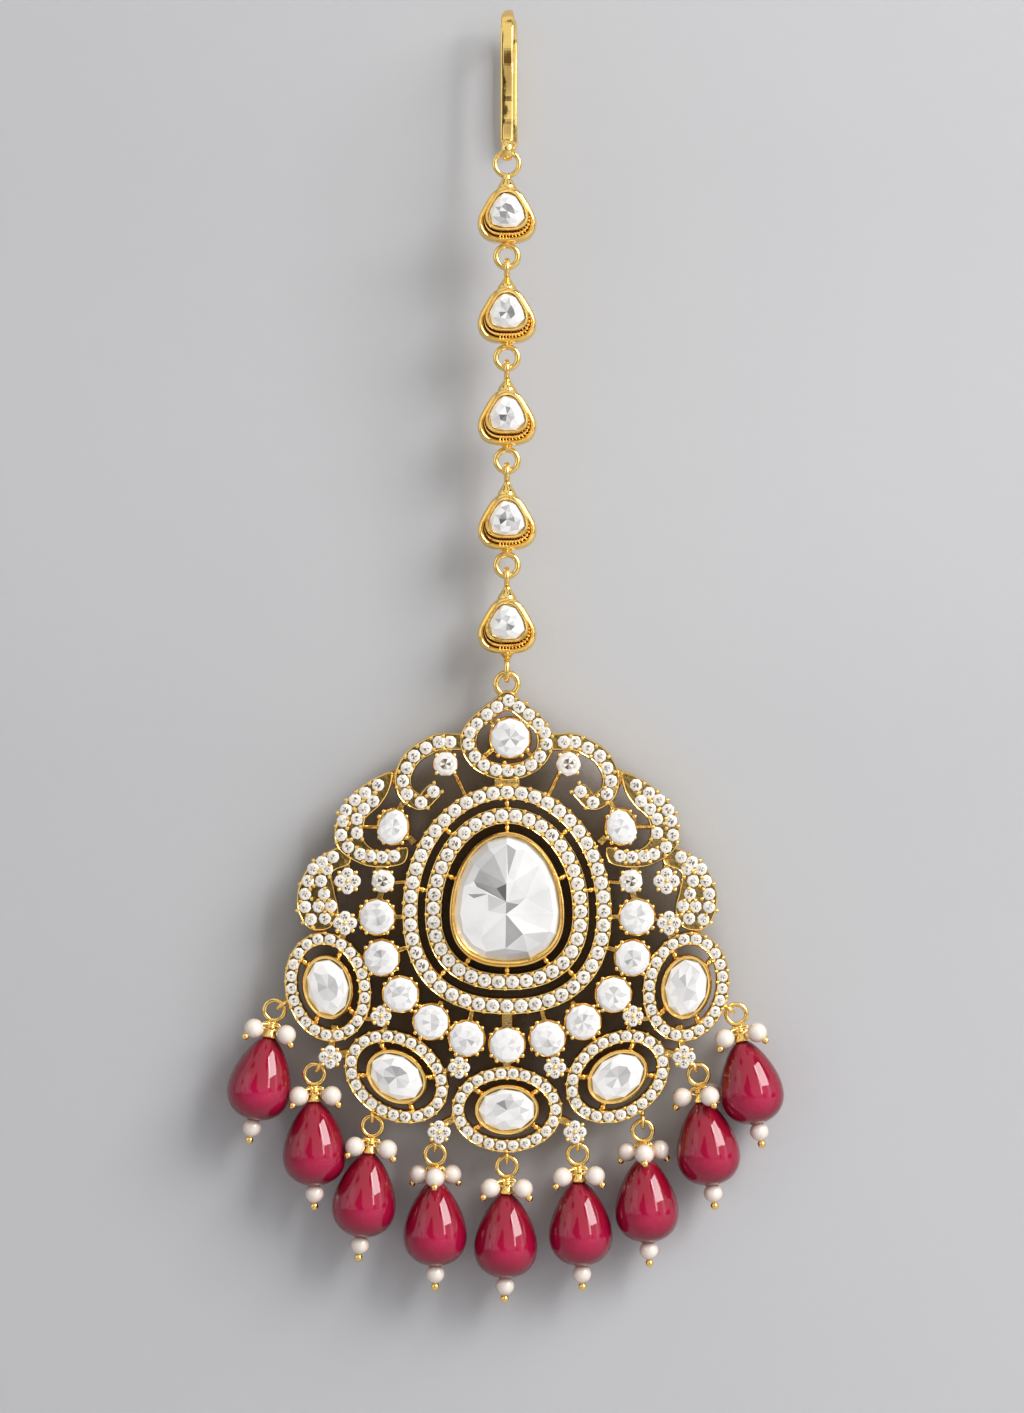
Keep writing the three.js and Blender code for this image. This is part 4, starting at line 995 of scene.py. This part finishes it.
def clusters():
    """Both sides' clusters: place, radius and count of stones."""
    return [(side * x, z, r, n) for x, z, r, n in CLUSTERS for side in (1, -1)]


def cluster_places():
    """Stones of the small clusters: one in the middle, or a flower of four."""
    rows = []
    for x, z, r, n in clusters():
        if n == 1:
            rows.append((x, z, r * 0.98))
        else:
            rows += [(x + r * FLOWER_OUT * math.cos(a), z + r * FLOWER_OUT * math.sin(a), r * FLOWER_SIZE)
                     for a in np.radians([0, 90, 180, 270])]
    return np.array(rows)


def cluster_cups_shape():
    """Cups, claws and middle beads of the small clusters."""
    cup = turned_body([(0.8, 0.9), (0.95, 0.8), (1.0, 0.4), (0.98, -0.7), (0.86, -0.86), (0.6, -0.88)], 24, "y")
    rows = clusters()
    at = [(x, 0, z) for x, z, _, _ in rows]
    sizes = np.array([r for _, _, r, _ in rows])
    shells = [Shell(np.concatenate([cup.points * np.array([s, 1, s]) + p for s, p in zip(sizes, at)]),
                    [f + k * len(cup.points) for k in range(len(at)) for f in cup.faces])]
    claws = []
    for x, z, r, n in rows:
        angles = np.array([45, 135, 225, 315])
        claws += [(x + r * math.cos(a), -1.02, z + r * math.sin(a)) for a in np.radians(angles)]
        if n > 1:
            claws.append((x, -1.1, z))
    shells.append(repeated(ball(CLAW_R, 8, 6), claws))
    return merged(shells)


CUP = [(0.1, BACK), (-0.1, 0.84), (-0.22, 0.6), (-0.22, -0.5), (-0.15, -0.72), (-0.05, -0.8), (0.1, -0.78)]


def round_stones():
    """Place and half sizes of the garland, crest and pear stones."""
    stones = [(x, z, GARLAND_R, GARLAND_R) for x, z in GARLAND]
    stones.append((*CREST_STONE, CREST_STONE[2]))
    return stones + [(side * PEAR_STONE[0], *PEAR_STONE[1:]) for side in (1, -1)]


def cups_shape():
    """Cups of the round stones: a rounded seat, a fine lip, and pairs of small claws round it."""
    shells, claws = [], []
    for x, z, rx, rz in round_stones():
        shells.append(loft([lay(ellipse(x, z, rx - w, rz - w, 0, 40), y) for w, y in CUP]))
        for middle in (45, 135, 225, 315):
            for a in np.radians([middle - CLAW_SPREAD, middle + CLAW_SPREAD]):
                claws.append((x + (rx + CLAW_OUT) * math.cos(a), -1.05, z + (rz + CLAW_OUT) * math.sin(a)))
    legs = repeated(turned_body([(0.16, 0.3), (0.2, -0.1)], 8, "y"), claws)
    shells += [repeated(ball(CLAW_R, 10, 7), claws), legs]
    return merged(shells)


def round_stones_shape():
    """Garland, crest and pear stones: ten-sided rose-cut tops with slightly greyer painted reflections in their
    tables.
    """
    shells = []
    rows = [(0.93, -1.0), (1.0, -1.25), (0.82, -1.44), (0.5, -1.53)]
    for k, (x, z, rx, rz) in enumerate(round_stones()):
        pear = PEAR_LEAN[max(0, k - len(GARLAND))]
        outline_of = lambda count, x=x, z=z, rx=rx, rz=rz, pear=pear: pear_outline(x, z, rx, rz, pear, count)
        shells.append(cut_stone(outline_of, 10, (x, z), rows, -0.75, [.9, 1.0, .98, .92], 200 + k))
    return shells


def oval_stone_shape(number):
    """An oval medallion's stone."""
    x, z, lean = OVALS[number]
    outline_of = lambda count: ellipse(x, z, *OVAL["stone"], lean, count)
    rows = [(0.95, -1.0), (1.0, -1.3), (0.82, -1.5), (0.5, -1.62)]
    return cut_stone(outline_of, 9, (x, z), rows, -0.75, [.95, 1.0, .97, .9], 300 + number)


def big_stone_shape():
    """The egg-shaped middle stone: a bevel of sixteen facets round large uneven ones that meet on a low ridge; each
    corner lies at y = -2.3 - 0.6 (1 - d^2), where d is its distance from the middle over the crown's."""
    rng = np.random.default_rng(11)
    ring, centre = egg(EGGS["stone"], 16), np.array([0.0, -0.4])
    girdle = [lay(centre + (ring - centre) * w, y) for w, y in ((0.97, -1.25), (1.0, -1.75), (0.88, -2.3))]
    inner = np.array(list(BIG_CORNERS.values()))
    away = np.linalg.norm((inner - centre) / np.array([4.66, 5.9]), axis=1)
    depth = -2.3 - 0.6 * (1 - away ** 2) + rng.uniform(-0.07, 0.07, len(inner))
    points = np.vstack([*girdle, lay(inner, depth), [[0, -1.1, -0.4]]])
    number = {f"c{k}": 32 + k for k in range(16)} | {key: 48 + k for k, key in enumerate(BIG_CORNERS)}
    i = np.arange(16)
    j = (i + 1) % 16
    sides = np.vstack([np.stack([i + k, j + k, j + k + 16, i + k + 16], 1) for k in (0, 16)])
    back = np.stack([j, i, np.full(16, len(points) - 1)], 1)
    fans = [([row[0], row[k], row[k + 1]], tone) for names, tone in BIG_FACETS
            for row in [[number[n] for n in names.split()]] for k in range(1, len(row) - 1)]
    top = np.array([f for f, _ in fans])
    return Shell(points, [sides, back, top],
                 [np.array([0.9] * 16 + BIG_BEVEL), np.full(16, 0.5), np.array([float(t) for _, t in fans])])


def drop_place(number):
    """Place, tilt and turn of the pearls of one drop."""
    x, z, _, tilt, turn, _ = DROPS[number]
    return x, z, tilt, turn


def on_drop(shell, number):
    """Moves a shell from the drop's own frame, whose origin is the jump ring's centre, to its place."""
    x, z, tilt, _ = drop_place(number)
    return shell.turned(tilt).moved(x, 0, z)


def hanger_shape():
    """Jump ring, wound wire neck, small cap over the ruby, foot cap, end ball and the pin through them all."""
    shells = [torus(JUMP_RING, JUMP_WIRE, "y", 36, 10)]
    coil = [torus(r, 0.26, "z", 20, 8).moved(z=z) for r, z in ((0.34, -1.28), (0.4, -1.5), (0.44, -1.7))]
    cap = turned_body([(0.3, -1.8), (0.5, -1.95), (0.62, -2.3), (0.85, -2.62), (0.8, -2.72), (0.4, -2.7)], 20)
    pin = tube(np.linspace((0, 0, -1.0), (0, 0, FOOT_PEARL_Z), 6), 0.2, 8)
    foot = ball(0.3, 12, 8, 0.6).moved(z=RUBY_TOP - RUBY_LENGTH - 0.08)
    end = ball(FOOT_BALL_R, 14, 9).moved(z=FOOT_BALL_Z)
    collar = ball(0.2, 10, 6).moved(z=FOOT_PEARL_Z - FOOT_PEARL_R)
    return merged(shells + coil + [cap, pin, foot, end, collar])


def foot_pearl_shape():
    """The pearl under a ruby."""
    return ball(FOOT_PEARL_R, 28, 16).moved(z=FOOT_PEARL_Z)


def neck_pearl_places(turn):
    """Middles of the three pearls round the neck: (out cos a, out sin a, z) every 120 degrees."""
    a = np.radians(turn + np.arange(3) * 120)
    return np.stack([PEARL_OUT * np.cos(a), PEARL_OUT * np.sin(a), np.full(3, PEARL_Z)], 1)


def neck_pearls_shape(turn):
    """Three pearls round the neck."""
    pearl = ball(PEARL_R, 28, 16)
    return merged([pearl.moved(*p) for p in neck_pearl_places(turn)])


def neck_wires_shape(turn):
    """A thin wire through each pearl, wound at the neck, with a ball at its outer end."""
    shells = []
    for p in neck_pearl_places(turn):
        out = np.array([p[0], p[1], 0]) / PEARL_OUT
        end = p + out * 0.75 + np.array([0, 0, -0.9])
        path = spline([(0, 0, -1.5), p * 0.45 + np.array([0, 0, -0.55]), p + np.array([0, 0, 0.2]), end], 12)
        shells += [tube(path, 0.13, 7), ball(0.37, 14, 9).moved(*end)]
        curl = torus(0.36, 0.22, "y", 20, 8)
        shells.append(curl.turned(25).moved(*(out * 0.62 + np.array([0, 0, -1.62]))))
    return merged(shells)


def ruby_shape():
    """r = R/peak sin t (1 - 0.35 cos t), z = top - length (1 - cos t)/2, turned about Z."""
    t = np.linspace(0, math.pi, 41)[1:-1]
    r = RUBY_R / RUBY_PEAK * np.sin(t) * (1 - RUBY_FULL * np.cos(t))
    z = RUBY_TOP - RUBY_LENGTH * (1 - np.cos(t)) / 2
    u = np.linspace(0, TAU, 48, endpoint=False)
    rings = np.stack([r[:, None] * np.cos(u), r[:, None] * np.sin(u), np.broadcast_to(z[:, None], (39, 48))], -1)
    shell = loft(rings, "fan", [(0, 0, RUBY_TOP), (0, 0, RUBY_TOP - RUBY_LENGTH)])
    # Painted glow: each face's tone peaks 30% of the way up from the drop's foot.
    glow = lambda height: np.exp(-((height - 0.3) / 0.2) ** 2)
    height = (z + RUBY_LENGTH - RUBY_TOP) / RUBY_LENGTH
    middle = (height[1:] + height[:-1]) / 2
    shell.tones = [np.repeat(glow(middle), 48), np.full(48, glow(1.0)), np.full(48, glow(0.0))]
    return shell


# ------------------------------------------------------------------ settings
class TikkaColours(bpy.types.PropertyGroup):
    gold: FloatVectorProperty(name="Gold", description="Colour of the polished gold", subtype="COLOR",
                              size=3, default=(0.97, 0.69, 0.24), min=0, max=1)
    # Painted shade: colour the gold turns to in its floors and grooves, and in the hook's painted dark reflection
    # bands
    gold_shade: FloatVectorProperty(name="Gold shade", description="Colour of the gold deep in the work",
                                    subtype="COLOR", size=3, default=(0.11, 0.05, 0.012), min=0, max=1)
    # Painted reflections: the clear stones' facets are painted between these two colours by their tone
    crystal: FloatVectorProperty(name="Crystal", description="Brightest facets of the clear stones",
                                 subtype="COLOR", size=3, default=(0.97, 0.95, 0.93), min=0, max=1)
    crystal_shade: FloatVectorProperty(name="Crystal shade", description="Darkest facets of the clear stones",
                                       subtype="COLOR", size=3, default=(0.07, 0.065, 0.07), min=0, max=1)
    # Painted reflections: the small stones' facets are painted between these two colours by their tone
    crystal_small: FloatVectorProperty(name="Small crystal", description="Brightest facets of the small stones",
                                       subtype="COLOR", size=3, default=(0.97, 0.91, 0.82), min=0, max=1)
    small_shade: FloatVectorProperty(name="Small crystal shade", description="Darkest facets of the small stones",
                                     subtype="COLOR", size=3, default=(0.1, 0.06, 0.035), min=0, max=1)
    ruby: FloatVectorProperty(name="Ruby", description="Colour of the drops", subtype="COLOR",
                              size=3, default=(0.33, 0.004, 0.026), min=0, max=1)
    # Painted glow: colour of the light painted low in the drops
    ruby_glow: FloatVectorProperty(name="Ruby glow", description="Colour of the light caught low in the drops",
                                   subtype="COLOR", size=3, default=(0.55, 0.003, 0.08), min=0, max=1)
    # Painted shade: colour the drops turn to towards their edges
    ruby_edge_shade: FloatVectorProperty(name="Ruby edge", description="Colour of the drops towards their edges",
                                   subtype="COLOR", size=3, default=(0.09, 0.001, 0.006), min=0, max=1)
    pearl: FloatVectorProperty(name="Pearl", description="Colour of the pearls", subtype="COLOR",
                               size=3, default=(0.95, 0.87, 0.79), min=0, max=1)
    # Painted shade: the darker pinkish colour the pearls turn to towards their edges
    pearl_edge_shade: FloatVectorProperty(name="Pearl blush", description="Rosy colour at the pearls' edges",
                                     subtype="COLOR", size=3, default=(0.55, 0.4, 0.31), min=0, max=1)
    backdrop: FloatVectorProperty(name="Backdrop", description="Colour of the studio paper", subtype="COLOR",
                                  size=3, default=(0.53, 0.53, 0.54), min=0, max=1)
    # Painted shade: colour the paper turns to close under the gold
    backdrop_shade: FloatVectorProperty(name="Backdrop shade", description="Colour of the paper close under the gold",
                                        subtype="COLOR", size=3, default=(0.1, 0.06, 0.03), min=0, max=1)


class TikkaStudio(bpy.types.PropertyGroup):
    lens: FloatProperty(name="Lens", description="Focal length of the camera, in millimetres", default=100.0,
                        min=20.0, max=300.0)
    key: FloatProperty(name="Key light", description="Power of the large soft light", default=4.9, min=0.0,
                       unit="POWER")
    strip: FloatProperty(name="Strip light", description="Power of the narrow light that draws the highlights",
                         default=0.6, min=0.0, unit="POWER")
    fill: FloatProperty(name="Fill light", description="Power of each fill light", default=0.2, min=0.0,
                        unit="POWER")
    back: FloatProperty(name="Back light", description="Power of each light behind the jewel", default=0.5,
                        min=0.0, unit="POWER")
    sky: FloatProperty(name="Mirrored room", description="Brightness of the room in the polished pieces",
                       default=0.9, min=0.0)
    even: FloatProperty(name="Even light", description="Strength of the room's plain soft light", default=0.4,
                        min=0.0)
    flag: FloatProperty(name="Dark flags", description="Brightness of the dark flags round the room", default=0.1,
                        min=0.0, max=1.0)
    paper_gap: FloatProperty(name="Paper gap", description="Gap between the hook's back leg and the paper",
                             default=0.0005, min=0.0, unit="LENGTH")


class TikkaMaker:
    """What the piece operators share."""
    bl_options = {"REGISTER"}

    def execute(self, context):
        build_materials()
        self.build(context)
        return {"FINISHED"}


class TIKKA_OT_hook(TikkaMaker, bpy.types.Operator):
    """The smooth strip hook with its eye"""
    bl_idname = "tikka.hook"
    bl_label = "Hook"

    def build(self, context):
        put("hook_strip", hook_shape(), (0, 0, 0), "chain", "gold polished", ["hook"])


class TIKKA_OT_links(TikkaMaker, bpy.types.Operator):
    """The five links with their rings, loops and settings"""
    bl_idname = "tikka.links"
    bl_label = "Links"

    def build(self, context):
        for k in range(len(LINKS)):
            put(f"link_gold_{k + 1}", link_shape(k), CHAIN_AT, "chain", "gold polished", [f"link_{k + 1}"])


class TIKKA_OT_link_stones(TikkaMaker, bpy.types.Operator):
    """The cut stones of the links"""
    bl_idname = "tikka.link_stones"
    bl_label = "Link stones"

    def build(self, context):
        put("link_gems", link_stones_shape(), CHAIN_AT, "chain", "crystal large",
            [f"link_stone_{k + 1}" for k in range(len(LINKS))], 0)


class TIKKA_OT_openwork(TikkaMaker, bpy.types.Operator):
    """The pierced gold of the pendant"""
    bl_idname = "tikka.openwork"
    bl_label = "Openwork"

    def build(self, context):
        put("pendant_openwork", openwork_shape(), PENDANT_AT, "pendant", "gold openwork",
            ["pendant_frame"])
        put("cluster_cups", cluster_cups_shape(), PENDANT_AT, "pendant", "gold openwork")
        put("stone_cups", cups_shape(), PENDANT_AT, "pendant", "gold openwork")


class TIKKA_OT_small_stones(TikkaMaker, bpy.types.Operator):
    """The small stones of the bands and clusters, and the gold beads between them"""
    bl_idname = "tikka.small_stones"
    bl_label = "Small stones"

    def build(self, context):
        put("band_stones", set_stones_shape(), PENDANT_AT, "pendant", "crystal small", (), 0)
        put("band_beads", set_grains_shape(), PENDANT_AT, "pendant", "gold openwork")
        rows = cluster_places()
        at = np.stack([rows[:, 0], np.full(len(rows), CLUSTER_Y), rows[:, 1]], 1)
        stones = repeated(small_brilliant(55), at, np.arange(len(rows)) * 17.0, rows[:, 2])
        put("cluster_stones", stones, PENDANT_AT, "pendant", "crystal small", (), 0)


class TIKKA_OT_main_stones(TikkaMaker, bpy.types.Operator):
    """The large cut stones of the pendant"""
    bl_idname = "tikka.main_stones"
    bl_label = "Main stones"

    def build(self, context):
        put("centre_gem", big_stone_shape(), PENDANT_AT, "pendant", "crystal large",
            ["centre_stone"], 0)
        for k in range(len(OVALS)):
            put(f"oval_gem_{k + 1}", oval_stone_shape(k), PENDANT_AT, "pendant", "crystal large",
                [f"oval_stone_{k + 1}"], 0)
        names = [f"garland_stone_{k + 1}" for k in range(len(GARLAND))]
        names += ["crest_stone", "pear_stone_left", "pear_stone_right"]
        for name, shell in zip(names, round_stones_shape()):
            put(name.replace("stone", "gem"), shell, PENDANT_AT, "pendant", "crystal large", [name], 0)


class TIKKA_OT_drops(TikkaMaker, bpy.types.Operator):
    """The nine drops: wire, pearls and rubies"""
    bl_idname = "tikka.drops"
    bl_label = "Drops"

    def build(self, context):
        for k in range(len(DROPS)):
            turn = drop_place(k)[3]
            wires = merged([hanger_shape(), neck_wires_shape(turn)])
            parts = [
                (f"drop_wires_{k + 1}", wires, "gold", "gold polished", [f"drop_hanger_{k + 1}"]),
                (f"foot_pearl_{k + 1}", foot_pearl_shape(), "pearl", "pearl lustre", []),
                (f"neck_pearls_{k + 1}", neck_pearls_shape(turn), "pearl", "pearl lustre",
                 [f"pearl_cluster_{k + 1}"]),
                (f"ruby_{k + 1}", ruby_shape(), "ruby", "ruby polish", [f"ruby_drop_{k + 1}"]),
            ]
            for name, shell, slot, material, nodes in parts:
                put(name, on_drop(shell, k), PENDANT_AT, "pendant", material, nodes, 60)


def soft_light(name, place, target, size, power):
    """A square area light that faces a point."""
    data = bpy.data.lights.new(name, "AREA")
    data.shape = "RECTANGLE"
    data.size, data.size_y = size
    data.energy = power
    lamp = bpy.data.objects.new(name, data)
    bpy.context.scene.collection.objects.link(lamp)
    z = np.array(place) - np.array(target)
    lamp.location = place
    lamp.rotation_euler = (math.atan2(math.hypot(z[0], z[1]), z[2]), 0, math.atan2(z[0], -z[1]))


def room(strength, soft, flag):
    """The room's light: pale all round with some dark flags where it is mirrored, and dimmer and even as plain light,
    so that the softboxes model the jewel."""
    world = bpy.data.worlds.new("room")
    world.use_nodes = True
    nodes, link = world.node_tree.nodes, world.node_tree.links.new
    way, cloud, ramp = (nodes.new("ShaderNode" + n) for n in ("TexCoord", "TexNoise", "ValToRGB"))
    cloud.inputs["Scale"].default_value = 2.3
    cloud.inputs["Detail"].default_value = 0.5
    ramp.color_ramp.elements[0].position = 0.42
    ramp.color_ramp.elements[0].color = (flag, flag * 0.97, flag * 0.93, 1)
    ramp.color_ramp.elements[1].position = 0.49
    ramp.color_ramp.elements[1].color = (1, 1, 1, 1)
    path, even, mix = (nodes.new("ShaderNode" + n) for n in ("LightPath", "Background", "MixShader"))
    mirrored = nodes["Background"]
    mirrored.inputs["Strength"].default_value = strength
    even.inputs["Strength"].default_value = soft
    even.inputs["Color"].default_value = (1, 1, 1, 1)
    link(way.outputs["Generated"], cloud.inputs["Vector"])
    link(cloud.outputs["Fac"], ramp.inputs["Fac"])
    link(ramp.outputs["Color"], mirrored.inputs["Color"])
    link(path.outputs["Is Glossy Ray"], mix.inputs["Fac"])
    link(even.outputs[0], mix.inputs[1])
    link(mirrored.outputs[0], mix.inputs[2])
    link(mix.outputs[0], nodes["World Output"].inputs["Surface"])
    return world


class TIKKA_OT_stage(TikkaMaker, bpy.types.Operator):
    """Paper backdrop and floor, soft lights and the camera"""
    bl_idname = "tikka.stage"
    bl_label = "Stage"

    def build(self, context):
        studio = context.scene.tikka_studio
        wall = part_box("hook")[1].y + studio.paper_gap
        floor, bend = -0.19, 0.05
        a = np.linspace(0, math.pi / 2, 9)
        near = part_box("ruby_drop_5")[1].y + studio.paper_gap
        sweep = np.stack([near - bend + bend * np.sin(a), floor + bend - bend * np.cos(a)], 1)
        rise = np.linspace(-0.075, -0.015, 13)
        ease = (1 - np.cos(np.linspace(0, math.pi, 13))) / 2
        lean = np.stack([near + (wall - near) * ease, rise], 1)
        line = np.vstack([[(-0.9, floor)], sweep, lean, [(wall, 0.6)]])
        x = np.array([-0.9, 0.9])
        grid = np.stack([np.broadcast_to(x, (len(line), 2)), np.repeat(line[:, :1], 2, 1),
                         np.repeat(line[:, 1:], 2, 1)], -1)
        ids = np.arange(len(line) * 2).reshape(-1, 2)
        faces = np.stack([ids[:-1, 0], ids[:-1, 1], ids[1:, 1], ids[1:, 0]], 1)
        mesh = bpy.data.meshes.new("paper")
        mesh.from_pydata(grid.reshape(-1, 3).tolist(), [], faces.tolist())
        mesh.polygons.foreach_set("use_smooth", np.ones(len(mesh.polygons), bool))
        mesh.materials.append(bpy.data.materials["studio paper"])
        paper = bpy.data.objects.new("paper", mesh)
        context.scene.collection.objects.link(paper)
        middle = (0.0, 0.0, -0.07)
        soft_light("key", (0.5, -0.36, 0.33), middle, (0.4, 0.4), studio.key)
        soft_light("strip", (0.3, -0.42, 0.16), middle, (0.06, 0.5), studio.strip)
        soft_light("fill_left", (-0.5, -0.4, 0.0), middle, (0.25, 0.6), studio.fill)
        soft_light("fill_right", (0.55, -0.25, -0.15), middle, (0.12, 0.6), studio.fill)
        soft_light("back_left", (-0.3, 0.5, 0.2), middle, (0.4, 0.4), studio.back)
        soft_light("back_right", (0.35, 0.45, -0.1), middle, (0.4, 0.4), studio.back)
        context.scene.world = room(studio.sky, studio.even, studio.flag)
        context.scene.view_settings.view_transform = "Standard"
        camera = bpy.data.cameras.new("camera")
        camera.lens = studio.lens
        camera.sensor_width = 36.0
        camera.clip_start = 0.01
        eye = bpy.data.objects.new("camera", camera)
        context.scene.collection.objects.link(eye)
        distance = 0.1413 * studio.lens / 36.0
        eye.location = (0.0005, -0.0037 - distance, -0.06925)
        eye.rotation_euler = (math.pi / 2, 0, 0)
        context.scene.camera = eye


class TIKKA_PT_panel(bpy.types.Panel):
    """Colours, studio values and the pieces of the maang tikka"""
    bl_label = "Maang Tikka"
    bl_idname = "TIKKA_PT_panel"
    bl_space_type = "VIEW_3D"
    bl_region_type = "UI"
    bl_category = "Maang Tikka"

    def draw(self, context):
        for group in (context.scene.tikka_colours, context.scene.tikka_studio):
            box = self.layout.box()
            for name in group.__annotations__:
                box.prop(group, name)
        for operator in OPERATORS:
            self.layout.operator(operator.bl_idname)


OPERATORS = (TIKKA_OT_hook, TIKKA_OT_links, TIKKA_OT_link_stones, TIKKA_OT_openwork, TIKKA_OT_small_stones,
             TIKKA_OT_main_stones, TIKKA_OT_drops, TIKKA_OT_stage)
CLASSES = (TikkaColours, TikkaStudio, *OPERATORS, TIKKA_PT_panel)


def register():
    for c in CLASSES:
        bpy.utils.register_class(c)
    bpy.types.Scene.tikka_colours = PointerProperty(type=TikkaColours)
    bpy.types.Scene.tikka_studio = PointerProperty(type=TikkaStudio)


def unregister():
    del bpy.types.Scene.tikka_studio
    del bpy.types.Scene.tikka_colours
    for c in reversed(CLASSES):
        bpy.utils.unregister_class(c)


def main():
    """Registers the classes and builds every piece."""
    register()
    for name in ("hook", "links", "link_stones", "openwork", "small_stones", "main_stones", "drops", "stage"):
        getattr(bpy.ops.tikka, name)()


if __name__ == "__main__":
    main()
